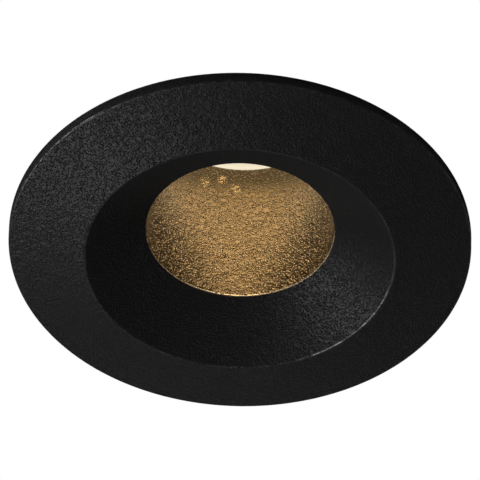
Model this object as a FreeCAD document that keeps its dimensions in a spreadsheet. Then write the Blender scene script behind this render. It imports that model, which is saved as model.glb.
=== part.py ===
import FreeCAD, Part
import math
import os
import re

import Sketcher

# Round recessed downlight with a deep anti-glare tube, for a 75 mm ceiling hole.
# Millimetres, +Z up, as it hangs in use: the room is below, the ceiling void above.
# The origin is on the light's axis, in the plane of the ceiling's underside.

SIZES = {
    # Trim ring: side wall, outer face down to the ridge, cone back up to the aperture
    "aperture_radius": 18.35,
    "aperture_rise": 8.2,
    "lip_height": 0.4,
    "cone_width": 11.8,
    "ridge_drop": 3.7,
    "ridge_round": 0.8,
    "trim_lip": 8.5,
    "trim_edge": 2.45,
    "face_round": 0.35,
    "casting_wall": 2.0,
    "collar_gap": 2.5,
    "collar_wall": 2.0,
    "collar_height": 5.0,
    "collar_chamfer": 0.6,
    "register_depth": 1.5,
    "register_wall": 1.8,
    "trim_boss_radius": 2.7,
    # Foam ring in a shallow recess of the trim ring's back
    "gasket_inset": 2.0,
    "gasket_rim": 1.5,
    "gasket_thickness": 1.0,
    "gasket_proud": 0.5,
    # Aperture tube with the cup for the glass at its top
    "tube_step": 0.05,
    "tube_wall": 1.6,
    "tube_clearance": 0.1,
    "tube_depth": 34.6,
    "cup_wall": 1.7,
    "cup_floor": 1.8,
    # Glass, its seal and its threaded ring
    "glass_ledge": 2.3,
    "glass_thickness": 2.5,
    "glass_bevel": 0.3,
    "seal_floor": 0.8,
    "seal_side": 0.9,
    "ring_height": 2.0,
    "ring_margin": 0.5,
    "ring_slot_width": 2.4,
    "ring_slot_depth": 1.2,
    "ring_slot_reach": 1.5,
    # Housing: the can behind the trim ring
    "housing_seat": 3.6,
    "housing_gap": 1.8,
    "housing_wall": 2.0,
    "optics_height": 13.45,
    "flange_lip": 7.0,
    "flange_thickness": 2.0,
    "ledge_lip": 0.1,
    "ledge_thickness": 2.0,
    "rib_reach": 1.4,
    "rib_width": 1.6,
    "rib_foot_gap": 4.0,
    "rib_top_gap": 2.5,
    "rib_count": 8,
    "rib_start_angle": 34.0,
    "rib_sweep": 112.0,
    "trim_screw_offset": 4.0,
    "cover_screw_inset": 2.1,
    "cover_boss_radius": 2.4,
    "cover_boss_depth": 10.8,
    "clip_pad_step": 0.8,
    "clip_boss_depth": 2.2,
    "clip_boss_width": 5.6,
    "clip_boss_margin": 3.0,
    # Screws: the M3 ones of the casings, the M2.5 ones of the brackets and the LED holder
    "screw_radius": 1.5,
    "screw_head_radius": 2.75,
    "screw_head_height": 1.8,
    "screw_length": 7.0,
    "small_screw_radius": 1.25,
    "small_head_radius": 2.2,
    "small_head_height": 1.2,
    "small_screw_length": 4.6,
    "hole_clearance": 0.2,
    "socket_share": 0.45,
    "socket_depth_share": 0.55,
    # Lens and its cup
    "lens_inset": 2.4,
    "lens_rim": 1.4,
    "lens_top_width": 2.9,
    "lens_top_gap": 0.3,
    "lens_well_margin": 0.6,
    "lens_well_depth": 6.0,
    "holder_lip": 0.8,
    "holder_lip_width": 1.2,
    "holder_clearance": 0.4,
    "holder_wall": 1.4,
    "holder_foot_gap": 0.4,
    "holder_foot": 1.6,
    "holder_skirt": 3.5,
    "holder_top_inset": 1.2,
    # LED board, its emitting disc, its clamp and the thermal pad
    "board_side": 19.0,
    "board_thickness": 1.0,
    "emitter_radius": 7.0,
    "emitter_thickness": 0.5,
    "thermal_pad_thickness": 0.3,
    "clamp_rim": 3.2,
    "clamp_thickness": 3.3,
    "clamp_window_margin": 1.2,
    "clamp_screw_offset": 2.8,
    "clamp_head_sink": 1.6,
    "board_clearance": 0.2,
    # Heat sink: a cast cover with upright radial fins
    "sink_base": 4.0,
    "sink_bevel": 0.8,
    "fin_height": 20.0,
    "fin_thickness": 1.6,
    "fin_inner_radius": 3.0,
    "fin_bevel": 3.0,
    "fin_count": 18,
    "hub_radius": 5.5,
    "hub_height": 9.0,
    "gland_pocket_gap": 1.54,
    "cover_seal_thickness": 0.8,
    "cover_seal_margin": 0.2,
    # Cable gland: body, rubber bush and domed nut
    "cable_radius": 3.3,
    "gland_inset": 7.5,
    "gland_bush_wall": 1.1,
    "gland_bush_height": 9.0,
    "gland_thread_wall": 1.6,
    "gland_hex_step": 1.5,
    "gland_hex_height": 4.0,
    "gland_stub_step": 0.2,
    "gland_stub_height": 6.0,
    "nut_gap": 0.6,
    "nut_height": 10.0,
    "nut_hex_height": 5.0,
    "nut_dome_wall": 0.9,
    # Clip bracket: one folded sheet with two ears and a floor that stops the arm
    "bracket_sheet": 1.0,
    "bracket_width": 16.0,
    "bracket_nose": 3.2,
    "bracket_margin": 3.4,
    "ear_wall": 1.7,
    "ear_slope": 3.0,
    "ear_round": 2.6,
    "stop_gap": 0.3,
    "stop_room": 0.9,
    "bracket_screw_rise": 14.0,
    "bracket_screw_pitch": 5.0,
    # Pin that carries the arm and the torsion spring
    "pin_radius": 1.5,
    "pin_offset": 4.4,
    "pin_head_lip": 0.8,
    "pin_head_height": 0.8,
    # Arm: a pressed channel that swings on the pin
    "arm_sheet": 1.2,
    "arm_side_gap": 0.4,
    "arm_web_rise": 0.6,
    "arm_eye_wall": 1.4,
    "arm_web_start": 3.7,
    "arm_taper_start": 9.0,
    "arm_taper_length": 11.0,
    "arm_tip_length": 11.0,
    "arm_corner": 3.5,
    "arm_bore_clearance": 0.1,
    "arm_slot_radius": 1.8,
    "arm_slot_offset": 5.5,
    # Soft sleeve on the arm's tip
    "sleeve_gap": 1.5,
    "sleeve_wall": 1.0,
    "sleeve_round": 0.7,
    # Torsion spring round the pin
    "wire_radius": 0.5,
    "coil_slack": 0.6,
    "coil_pitch": 2.0,
    "coil_side_gap": 0.4,
    "coil_end_share": 0.25,
    "spring_long_leg": 11.0,
    "spring_leg_gap": 0.3,
    # How far a cut runs past the face that it leaves
    "cut_overrun": 1.0,
    # How near an edge lies to the place where it is looked for
    "edge_reach": 0.02,
}

# Sizes that follow from others. Radii build up from the aperture to the trim ring's rim.
LINKED = {
    "tube_radius": "aperture_radius - tube_step",
    "glass_radius": "tube_radius + glass_ledge",
    "ring_inner_radius": "tube_radius + ring_margin",
    "lens_radius": "glass_radius - lens_inset",
    "cup_radius": "glass_radius + seal_side",
    "housing_bore": "cup_radius + cup_wall + housing_gap",
    "housing_radius": "housing_bore + housing_wall",
    "ledge_radius": "glass_radius - ledge_lip",
    "flange_radius": "housing_radius + flange_lip",
    "collar_radius": "flange_radius + collar_gap",
    "trim_radius": "collar_radius + trim_lip",
    "ridge_radius": "aperture_radius + cone_width",
    "gasket_inner_radius": "collar_radius + gasket_inset",
    "gasket_outer_radius": "trim_radius - gasket_rim",
    "trim_screw_circle": "housing_radius + trim_screw_offset",
    "cover_screw_circle": "housing_bore - cover_screw_inset",
    "clip_pad_reach": "housing_radius + clip_pad_step",
    "clip_boss_reach": "housing_bore - clip_boss_depth",
    "holder_lip_radius": "lens_radius - holder_lip_width",
    "holder_foot_radius": "housing_bore - holder_foot_gap",
    "lens_well_radius": "emitter_radius + lens_well_margin",
    "lens_top_radius": "lens_well_radius + lens_top_width",
    "clamp_window_radius": "emitter_radius + clamp_window_margin",
    "clamp_screw_circle": "board_side / 2 + clamp_screw_offset",
    "clamp_radius": "clamp_screw_circle + clamp_rim",
    "holder_top_radius": "clamp_radius - holder_top_inset",
    "gland_circle": "housing_radius - gland_inset",
    "gland_bush_radius": "cable_radius + gland_bush_wall",
    "gland_thread_radius": "gland_bush_radius + gland_thread_wall",
    "gland_hex_radius": "gland_thread_radius + gland_hex_step",
    "gland_stub_radius": "gland_thread_radius - gland_stub_step",
    "gland_pocket_radius": "gland_hex_radius / cos(30) + gland_pocket_gap",
    "nut_dome_radius": "gland_bush_radius + nut_dome_wall",
    "bracket_depth": "pin_offset + bracket_nose",
    "bracket_height": "bracket_screw_rise + bracket_screw_pitch + bracket_margin",
    "ear_top": "pin_radius + ear_wall",
    "pin_reach": "clip_pad_reach + pin_offset",
    "pin_rise": "bracket_sheet + stop_gap + arm_flange_drop + stop_room",
    "pin_head_radius": "pin_radius + pin_head_lip",
    "arm_width": "bracket_width - 2 * bracket_sheet - 2 * arm_side_gap",
    "arm_inner_width": "arm_width - 2 * arm_sheet",
    "arm_flange_drop": "pin_radius + arm_bore_clearance + arm_eye_wall",
    "arm_taper_end": "arm_taper_start + arm_taper_length",
    "arm_length": "arm_taper_end + arm_tip_length",
    "arm_slot_place": "arm_taper_start + arm_slot_offset",
    "sleeve_length": "arm_tip_length - sleeve_gap + sleeve_wall",
    "coil_radius": "pin_radius + wire_radius + coil_slack",
    "coil_room": "arm_inner_width - 2 * coil_side_gap - 2 * wire_radius",
    "coil_turns": "floor(coil_room / coil_pitch - coil_end_share)",
}

FULL_TURN = 360.0
HALF_TURN = 180.0
HEX_TURN = 60.0
CASING_SCREWS = 3
CASING_SCREW_START = 90.0
PAIR = 2
SIDES = {"right": 0.0, "left": HALF_TURN}

doc = FreeCAD.newDocument("Downlight")
sheet = doc.addObject("Spreadsheet::Sheet", "Sizes")
for row, (alias, size) in enumerate(SIZES.items(), 1):
    sheet.set(f"A{row}", alias)
    sheet.set(f"B{row}", str(size))
    sheet.setAlias(f"B{row}", alias)
doc.recompute()

parts = []


# Sums and slopes of the sizes above, written as expressions

face_edge = "(-gasket_proud - trim_edge)"
ridge_level = f"({face_edge} - ridge_drop)"
aperture_level = f"({ridge_level} + aperture_rise)"
tube_seat = f"({aperture_level} + lip_height)"
cup_level = f"({tube_seat} + tube_depth)"
glass_level = f"({cup_level} + seal_floor)"
ring_level = f"({glass_level} + glass_thickness)"
cup_top = f"({ring_level} + ring_height)"
tube_outer = "(tube_radius + tube_wall)"
register_radius = f"({tube_outer} + tube_clearance)"
ledge_top = f"({cup_top} + ledge_thickness)"
flange_top = "(housing_seat + flange_thickness)"
housing_top = f"({ledge_top} + optics_height)"
sink_level = f"({housing_top} + cover_seal_thickness)"
sink_top = f"({sink_level} + sink_base)"
board_level = f"({sink_level} - thermal_pad_thickness - board_thickness)"
clamp_level = f"({sink_level} - clamp_thickness)"
pin_level = f"({flange_top} + pin_rise)"
bracket_face = "(clip_pad_reach + bracket_sheet)"
bracket_top = f"({flange_top} + bracket_height)"
arm_web_top = "(arm_web_rise + arm_sheet)"
cone_slope = "(aperture_rise / (ridge_radius - aperture_radius))"
face_slope = "(ridge_drop / (trim_radius - ridge_radius))"
cone_wall = f"(casting_wall * sqrt(1 + {cone_slope}^2))"
face_wall = f"(casting_wall * sqrt(1 + {face_slope}^2))"
stop_drop = "(pin_rise - bracket_sheet - stop_gap)"
droop_angle = f"(atan({stop_drop} / bracket_nose) - asin(arm_flange_drop / hypot({stop_drop}; bracket_nose)))"


def cone_back(radius):
    """Height of the back of the inner cone's wall at a radius."""
    return f"({ridge_level} + (ridge_radius - {radius}) * {cone_slope} + {cone_wall})"


def face_back(radius):
    """Height of the back of the outer face's wall at a radius."""
    return f"({ridge_level} + ({radius} - ridge_radius) * {face_slope} + {face_wall})"


# Helpers of the document


def bound(text):
    """The expression with each size read from the sheet, and each linked size written out."""
    def read(name):
        return f"({bound(LINKED[name])})" if name in LINKED else "Sizes." + name
    return re.sub(r"[a-z]+(?:_[a-z]+)+", lambda words: read(words.group()), text)


def value(text):
    """The number that an expression of sizes gives now."""
    result = sheet.evalExpression(bound(text))
    return float(getattr(result, "Value", result))


def origin_feature(body, role):
    """One of the body's own origin planes or axes."""
    return next(item for item in body.Origin.OriginFeatures if item.Role == role)


def new_body(label, several=False):
    """A body that becomes one exported part; several allows a group of like solids."""
    body = doc.addObject("PartDesign::Body", label)
    body.Label = label
    body.AllowCompound = several
    parts.append(body)
    return body


def new_sketch(body, plane, across="0", up="0", out="0"):
    """An empty sketch on an origin plane, its own zero moved by three expressions."""
    sketch = body.newObject("Sketcher::SketchObject", body.Label + "_sketch")
    sketch.AttachmentSupport = [(origin_feature(body, plane), "")]
    sketch.MapMode = "FlatFace"
    for axis, text in (("x", across), ("y", up), ("z", out)):
        sketch.setExpression(f"AttachmentOffset.Base.{axis}", bound(text))
    return sketch


def dimension(sketch, kind, where, text):
    """A sketch dimension of a kind at some geometry, bound to an expression."""
    number = sketch.addConstraint(Sketcher.Constraint(kind, *where, value(text)))
    sketch.setExpression(f"Constraints[{number}]", bound(text))


def outline(body, plane, points, across="0", up="0", out="0"):
    """A closed sketch through points: two expressions each, and a third where a corner is round."""
    sketch = new_sketch(body, plane, across, up, out)
    spots = [FreeCAD.Vector(value(point[0]), value(point[1]), 0) for point in points]
    rounds = {index: value(point[2]) for index, point in enumerate(points) if len(point) > PAIR}
    arcs = {index: corner_arc(spots, index, radius) for index, radius in rounds.items()}
    for index, spot in enumerate(spots):
        following = (index + 1) % len(spots)
        start = arcs[index]["end"] if index in arcs else spot
        end = arcs[following]["start"] if following in arcs else spots[following]
        sketch.addGeometry(Part.LineSegment(start, end))
    for index, point in enumerate(points):
        previous = (index - 1) % len(points)
        if index in arcs:
            corner = round_off(sketch, spots[index], arcs[index], previous, index)
            dimension(sketch, "Radius", (corner + 1,), point[2])
        else:
            corner = index
            sketch.addConstraint(Sketcher.Constraint("Coincident", previous, 2, index, 1))
        for kind, text in zip(("DistanceX", "DistanceY"), point):
            dimension(sketch, kind, (-1, 1, corner, 1), text)
    return sketch


def corner_arc(spots, index, radius):
    """The arc of a radius that touches both sides of an outline's corner."""
    corner = spots[index]
    back = (spots[index - 1] - corner).normalize()
    onward = (spots[(index + 1) % len(spots)] - corner).normalize()
    half = back.getAngle(onward) / 2
    reach = radius / math.tan(half)
    centre = corner + (back + onward).normalize() * (radius / math.sin(half))
    ends = [corner + back * reach, corner + onward * reach]
    leftward = back.cross(onward).z < 0
    in_turn = ends if leftward else ends[::-1]
    low, high = [math.atan2(spot.y - centre.y, spot.x - centre.x) for spot in in_turn]
    circle = Part.Circle(centre, FreeCAD.Vector(0, 0, 1), radius)
    arc = Part.ArcOfCircle(circle, low, high if high > low else high + math.tau)
    return {"arc": arc, "start": ends[0], "end": ends[1], "leftward": leftward}


def round_off(sketch, spot, corner, before, after):
    """An arc in a corner, tangent to the lines before and after it; gives the corner point's number."""
    point = sketch.addGeometry(Part.Point(spot), True)
    arc = sketch.addGeometry(corner["arc"])
    first, last = (1, 2) if corner["leftward"] else (2, 1)
    sketch.addConstraint([
        Sketcher.Constraint("PointOnObject", point, 1, before),
        Sketcher.Constraint("PointOnObject", point, 1, after),
        Sketcher.Constraint("Tangent", before, 2, arc, first),
        Sketcher.Constraint("Tangent", arc, last, after, 1),
    ])
    return point


def circles(body, plane, radii, across="0", up="0", out="0"):
    """A sketch of circles about one centre, their radii given as expressions."""
    sketch = new_sketch(body, plane, across, up, out)
    for index, radius in enumerate(radii):
        sketch.addGeometry(Part.Circle(FreeCAD.Vector(), FreeCAD.Vector(0, 0, 1), value(radius)))
        sketch.addConstraint(Sketcher.Constraint("Coincident", index, 3, -1, 1))
        dimension(sketch, "Radius", (index,), radius)
    return sketch


def rectangle(width, low, high):
    """The corners of a rectangle that is centred across and runs from low to high."""
    half = f"({width} / 2)"
    return [(f"-{half}", low), (half, low), (half, high), (f"-{half}", high)]


def hexagon(flat):
    """The corners of a hexagon whose flats lie at a distance from its centre."""
    corner = f"({flat} / cos({HEX_TURN / 2}))"
    turns = [HEX_TURN * step for step in range(6)]
    return [(f"{corner} * cos({turn})", f"{corner} * sin({turn})") for turn in turns]


def add_feature(body, kind, sketch):
    """A feature of a kind made from a sketch."""
    feature = body.newObject("PartDesign::" + kind, body.Label + "_" + kind.lower())
    feature.Profile = sketch
    return feature


def turn(body, points, across="0", up="0", axis="V_Axis", kind="Revolution", plane="XZ_Plane"):
    """A full turn of an outline about an axis of its own sketch."""
    sketch = outline(body, plane, points, across, up)
    feature = add_feature(body, kind, sketch)
    feature.ReferenceAxis = (sketch, [axis])
    feature.Angle = FULL_TURN
    return feature


def pad(body, sketch, length, both_ways=False, reverse=False):
    """Material from a sketch, along its normal or evenly both ways."""
    feature = add_feature(body, "Pad", sketch)
    feature.setExpression("Length", bound(length))
    feature.SideType = "Symmetric" if both_ways else "One side"
    feature.Reversed = reverse
    return feature


def pocket(body, sketch, length, both_ways=False, reverse=False):
    """A cut from a sketch, against its normal or evenly both ways; it has to cut."""
    doc.recompute()
    before = body.Shape.Volume
    feature = add_feature(body, "Pocket", sketch)
    feature.setExpression("Length", bound(length))
    feature.SideType = "Symmetric" if both_ways else "One side"
    feature.Reversed = reverse
    doc.recompute()
    if not body.Shape.Volume < before:
        raise ValueError(feature.Name + " cuts nothing")
    return feature


def around(body, features, count, sweep=FULL_TURN):
    """Copies of features round the body's Z axis; count is an expression or a number."""
    pattern = body.newObject("PartDesign::PolarPattern", body.Label + "_copies")
    pattern.Originals = features
    pattern.Axis = (origin_feature(body, "Z_Axis"), [""])
    pattern.Angle = sweep
    pattern.setExpression("Occurrences", bound(str(count)))
    body.Tip = pattern
    doc.recompute()
    return pattern


def ring_edges(shape, radius, level):
    """Names of the round edges about the Z axis at a radius and height."""
    reach = value("edge_reach")
    names = []
    for number, edge in enumerate(shape.Edges, 1):
        box = edge.BoundBox
        wide = abs(box.XMax - radius) < reach or abs(box.YMax - radius) < reach
        if wide and box.ZLength < reach and abs(box.ZMax - level) < reach:
            names.append(f"Edge{number}")
    return names


def edges_along(shape, axis, tests):
    """Names of the straight edges along an axis whose middle meets every test."""
    names = []
    for number, edge in enumerate(shape.Edges, 1):
        straight = edge.Curve.TypeId == "Part::GeomLine"
        if not straight or abs(edge.Curve.Direction.dot(axis)) < math.cos(math.radians(1)):
            continue
        if all(test(edge.BoundBox.Center) for test in tests):
            names.append(f"Edge{number}")
    return names


def soften(body, names, size, kind="Fillet"):
    """A fillet or chamfer of a size on named edges of the body."""
    if not names:
        raise ValueError(body.Label + " has no such edge")
    base = body.Tip
    feature = body.newObject("PartDesign::" + kind, body.Label + "_" + kind.lower())
    feature.Base = (base, names)
    feature.setExpression("Radius" if kind == "Fillet" else "Size", bound(size))
    doc.recompute()
    return feature


def soften_ring(body, radius, level, size, kind="Fillet"):
    """A fillet or chamfer on the body's round edge at a radius and height."""
    doc.recompute()
    names = ring_edges(body.Shape, value(radius), value(level))
    return soften(body, names, size, kind)


def place(body, angle=0.0):
    """Turn a finished body about the light's axis."""
    turned = FreeCAD.Rotation(FreeCAD.Vector(0, 0, 1), angle)
    body.Placement = FreeCAD.Placement(FreeCAD.Vector(), turned)


# Trim ring: die-cast bezel with its rear collar


def trim_ring():
    """The bezel in one section, with three tapped bosses for the housing's screws."""
    body = new_body("trim_ring")
    boss_radius = f"({register_radius} + register_wall)"
    collar_bore = "(collar_radius - collar_wall)"
    valley = f"(ridge_radius + ({cone_wall} - {face_wall}) / ({cone_slope} + {face_slope}))"
    recess = "(-gasket_thickness)"
    turn(body, [
        ("aperture_radius", aperture_level),
        ("ridge_radius", ridge_level, "ridge_round"),
        ("trim_radius", face_edge, "face_round"),
        ("trim_radius", "-gasket_proud"),
        ("gasket_outer_radius", "-gasket_proud"),
        ("gasket_outer_radius", recess),
        ("gasket_inner_radius", recess),
        ("gasket_inner_radius", "-gasket_proud"),
        ("collar_radius", "-gasket_proud"),
        ("collar_radius", "collar_height"),
        (collar_bore, "collar_height"),
        (collar_bore, face_back(collar_bore)),
        (valley, cone_back(valley)),
        (boss_radius, cone_back(boss_radius)),
        (boss_radius, f"({tube_seat} + register_depth)"),
        (register_radius, f"({tube_seat} + register_depth)"),
        (register_radius, tube_seat),
        ("aperture_radius", tube_seat),
    ])
    soften_ring(body, "collar_radius", "collar_height", "collar_chamfer", "Chamfer")
    foot = cone_back(valley)
    boss = pad(body, circles(body, "XY_Plane", ["trim_boss_radius"], "trim_screw_circle", out=foot),
               f"housing_seat - {foot}")
    doc.recompute()
    hole = pocket(body, circles(body, "XY_Plane", ["screw_radius"], "trim_screw_circle", out="housing_seat"),
                  "screw_length - flange_thickness")
    around(body, [boss, hole], CASING_SCREWS)
    place(body, CASING_SCREW_START)


def ceiling_gasket():
    """Foam ring that the ceiling board presses flat."""
    body = new_body("ceiling_gasket")
    turn(body, [
        ("gasket_inner_radius", "-gasket_thickness"),
        ("gasket_outer_radius", "-gasket_thickness"),
        ("gasket_outer_radius", "0"),
        ("gasket_inner_radius", "0"),
    ])


# Aperture tube, glass, seal and ring


def aperture_tube():
    """Deep tube that stands on the trim ring and carries the glass in a cup."""
    body = new_body("aperture_tube")
    cup_outer = "(cup_radius + cup_wall)"
    cup_foot = f"({cup_level} - cup_floor)"
    turn(body, [
        ("tube_radius", tube_seat),
        (tube_outer, tube_seat),
        (tube_outer, f"({cup_foot} - {cup_outer} + {tube_outer})"),
        (cup_outer, cup_foot),
        (cup_outer, cup_top),
        ("cup_radius", cup_top),
        ("cup_radius", cup_level),
        ("tube_radius", cup_level),
    ])


def glass_disc():
    """Flat round glass with bevelled edges."""
    body = new_body("glass_disc")
    pad(body, circles(body, "XY_Plane", ["glass_radius"], out=glass_level), "glass_thickness")
    soften_ring(body, "glass_radius", glass_level, "glass_bevel", "Chamfer")
    soften_ring(body, "glass_radius", ring_level, "glass_bevel", "Chamfer")


def glass_seal():
    """Silicone ring of an L section: under the glass and round it."""
    body = new_body("glass_seal")
    inner = "(tube_radius + seal_floor)"
    turn(body, [
        (inner, cup_level),
        ("cup_radius", cup_level),
        ("cup_radius", ring_level),
        ("glass_radius", ring_level),
        ("glass_radius", glass_level),
        (inner, glass_level),
    ])


def glass_retaining_ring():
    """Threaded ring with two key slots, which presses the glass on to its seal."""
    body = new_body("glass_retaining_ring")
    pad(body, circles(body, "XY_Plane", ["ring_inner_radius", "cup_radius"], out=ring_level), "ring_height")
    slot_shape = rectangle("ring_slot_width", "0", "(ring_inner_radius + ring_slot_reach)")
    slot = outline(body, "XY_Plane", slot_shape, out=cup_top)
    cut = pocket(body, slot, "ring_slot_depth")
    around(body, [cut], PAIR)


# Housing: die-cast can between the trim ring and the heat sink


def housing():
    """The can with its flange, inner ledge, ribs, clip pads and screw bosses."""
    body = new_body("housing")
    turn(body, [
        ("housing_bore", "housing_seat"),
        ("flange_radius", "housing_seat"),
        ("flange_radius", flange_top),
        ("housing_radius", flange_top),
        ("housing_radius", housing_top),
        ("housing_bore", housing_top),
        ("housing_bore", ledge_top),
        ("ledge_radius", ledge_top),
        ("ledge_radius", cup_top),
        ("housing_bore", cup_top),
    ])
    add_clip_pads(body)
    add_cover_bosses(body)
    hole = circles(body, "XY_Plane", ["(screw_radius + hole_clearance)"],
                   f"trim_screw_circle * cos({CASING_SCREW_START})",
                   f"trim_screw_circle * sin({CASING_SCREW_START})", flange_top)
    around(body, [pocket(body, hole, "flange_thickness + cut_overrun")], CASING_SCREWS)
    add_ribs(body)


def add_clip_pads(body):
    """Two flat outer pads for the brackets, each with an inner boss for its screws."""
    pad_in = "(housing_bore + housing_wall / 2)"
    corner = f"sqrt({pad_in}^2 - (bracket_width / 2)^2)"
    flat = outline(body, "XY_Plane", [
        (corner, "-(bracket_width / 2)"),
        ("clip_pad_reach", "-(bracket_width / 2)"),
        ("clip_pad_reach", "(bracket_width / 2)"),
        (corner, "(bracket_width / 2)"),
        (pad_in, "0"),
    ], out=f"({flange_top} - flange_thickness / 2)")
    outer = pad(body, flat, "bracket_height + flange_thickness / 2")
    boss_low = f"({flange_top} + bracket_screw_rise - clip_boss_margin)"
    boss = pad(body, outline(body, "XY_Plane", [
        ("clip_boss_reach", "-(clip_boss_width / 2)"),
        (pad_in, "-(clip_boss_width / 2)"),
        (pad_in, "(clip_boss_width / 2)"),
        ("clip_boss_reach", "(clip_boss_width / 2)"),
    ], out=boss_low), "bracket_screw_pitch + 2 * clip_boss_margin")
    holes = [
        pocket(body, circles(body, "YZ_Plane", ["small_screw_radius"], up=level, out="clip_pad_reach"),
               "small_screw_length - bracket_sheet")
        for level in bracket_screw_levels()
    ]
    around(body, [outer, boss] + holes, PAIR)


def bracket_screw_levels():
    """Heights of the two screws that hold a bracket."""
    low = f"({flange_top} + bracket_screw_rise)"
    return [low, f"({low} + bracket_screw_pitch)"]


def add_cover_bosses(body):
    """Three tapped bosses inside the can's top for the heat sink's screws."""
    across = f"cover_screw_circle * cos({CASING_SCREW_START})"
    up = f"cover_screw_circle * sin({CASING_SCREW_START})"
    level = f"({housing_top} - cover_boss_depth)"
    boss = pad(body, circles(body, "XY_Plane", ["cover_boss_radius"], across, up, level), "cover_boss_depth")
    hole = pocket(body, circles(body, "XY_Plane", ["screw_radius"], across, up, housing_top),
                  "screw_length - sink_base - cover_seal_thickness")
    around(body, [boss, hole], CASING_SCREWS)


def add_ribs(body):
    """Upright cooling ribs on the can's two free sides."""
    low = f"({flange_top} + rib_foot_gap)"
    length = f"{housing_top} - rib_top_gap - {low}"
    inner = "(housing_radius - housing_wall / 2)"
    outer = "(housing_radius + rib_reach)"
    half = "(rib_width / 2)"
    for start in (value("rib_start_angle"), value("rib_start_angle") + HALF_TURN):
        across, along = f"cos({start})", f"sin({start})"
        corners = [(inner, f"(-{half})"), (outer, f"(-{half})"), (outer, half), (inner, half)]
        points = [
            (f"({far} * {across} - {side} * {along})", f"({far} * {along} + {side} * {across})")
            for far, side in corners
        ]
        rib = pad(body, outline(body, "XY_Plane", points, out=low), length)
        around(body, [rib], "rib_count", value("rib_sweep"))


# Screws


def screw(body, across, up, radius, head_radius, head_height, length, head_up=True):
    """One upright socket screw; up is the height of the face under its head."""
    sign = "" if head_up else "-"
    turn(body, [
        ("0", f"{sign}({head_height})"),
        (head_radius, f"{sign}({head_height})"),
        (head_radius, "0"),
        (radius, "0"),
        (radius, f"-({sign}({length}))"),
        ("0", f"-({sign}({length}))"),
    ], across, up)
    socket = outline(body, "XY_Plane", hexagon(f"({head_radius} * socket_share)"), across,
                     out=f"({up} + {sign}({head_height}))")
    return pocket(body, socket, f"{head_height} * socket_depth_share", reverse=not head_up)


def casing_screws(label, across, seat):
    """Three M3 screws on a circle."""
    body = new_body(label, several=True)
    screw(body, across, seat, "screw_radius", "screw_head_radius", "screw_head_height", "screw_length")
    around(body, body_features(body), CASING_SCREWS)
    place(body, CASING_SCREW_START)


def body_features(body):
    """The body's solid features so far, for a pattern of all of them."""
    kinds = ("PartDesign::Revolution", "PartDesign::Pocket", "PartDesign::Pad")
    return [item for item in body.Group if item.TypeId in kinds]


def led_holder_screws():
    """Two M2.5 screws that hold the LED clamp to the heat sink, heads down."""
    body = new_body("led_holder_screws", several=True)
    screw(body, "clamp_screw_circle", f"({clamp_level} + clamp_head_sink)", "small_screw_radius",
          "(small_head_radius - hole_clearance)", "small_head_height", "small_screw_length", head_up=False)
    around(body, body_features(body), PAIR)


# Lens and lens holder


def tir_lens():
    """Moulded lens: a cone with a rim below and a well for the LED above."""
    body = new_body("tir_lens")
    low = f"({ledge_top} + holder_lip)"
    high = f"({clamp_level} - lens_top_gap)"
    turn(body, [
        ("0", low),
        ("lens_radius", low),
        ("lens_radius", f"({low} + lens_rim)"),
        ("lens_top_radius", high),
        ("lens_well_radius", high),
        ("lens_well_radius", f"({high} - lens_well_depth / 2)"),
        ("0", f"({high} - lens_well_depth)"),
    ])


def lens_holder():
    """Plastic cup on the housing's ledge that centres the lens under the LED."""
    body = new_body("lens_holder")
    bore = "(lens_radius + holder_clearance)"
    outer = f"({bore} + holder_wall)"
    skirt = f"({ledge_top} + holder_skirt)"
    turn(body, [
        ("holder_lip_radius", ledge_top),
        ("holder_foot_radius", ledge_top),
        ("holder_foot_radius", f"({ledge_top} + holder_foot)"),
        (outer, f"({ledge_top} + holder_foot)"),
        (outer, skirt),
        ("holder_top_radius", clamp_level),
        ("(holder_top_radius - holder_wall)", clamp_level),
        (bore, f"({skirt} - holder_wall / 2)"),
        (bore, f"({ledge_top} + holder_lip)"),
        ("holder_lip_radius", f"({ledge_top} + holder_lip)"),
    ])


# LED board, emitting disc, clamp and thermal pad


def square_plate(label, level, thickness):
    """A square plate centred on the light's axis."""
    body = new_body(label)
    corners = rectangle("board_side", "(-board_side / 2)", "(board_side / 2)")
    pad(body, outline(body, "XY_Plane", corners, out=level), thickness)


def led_emitter():
    """The yellow disc of the LED, on the underside of its board."""
    body = new_body("led_emitter")
    level = f"({board_level} - emitter_thickness)"
    pad(body, circles(body, "XY_Plane", ["emitter_radius"], out=level), "emitter_thickness")


def led_holder():
    """Plastic clamp with a round window, a square seat and two sunk screw holes."""
    body = new_body("led_holder")
    pad(body, circles(body, "XY_Plane", ["clamp_window_radius", "clamp_radius"], out=clamp_level),
        "clamp_thickness")
    side = "(board_side + 2 * board_clearance)"
    seat = outline(body, "XY_Plane", rectangle(side, f"(-{side} / 2)", f"({side} / 2)"), out=sink_level)
    pocket(body, seat, f"{sink_level} - {board_level}")
    sunk = pocket(body, circles(body, "XY_Plane", ["small_head_radius"], "clamp_screw_circle",
                                out=f"({clamp_level} + clamp_head_sink)"), "clamp_head_sink")
    hole = pocket(body, circles(body, "XY_Plane", ["(small_screw_radius + hole_clearance)"],
                                "clamp_screw_circle", out=sink_level), "clamp_thickness")
    around(body, [sunk, hole], PAIR)


# Heat sink and its seal


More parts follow.
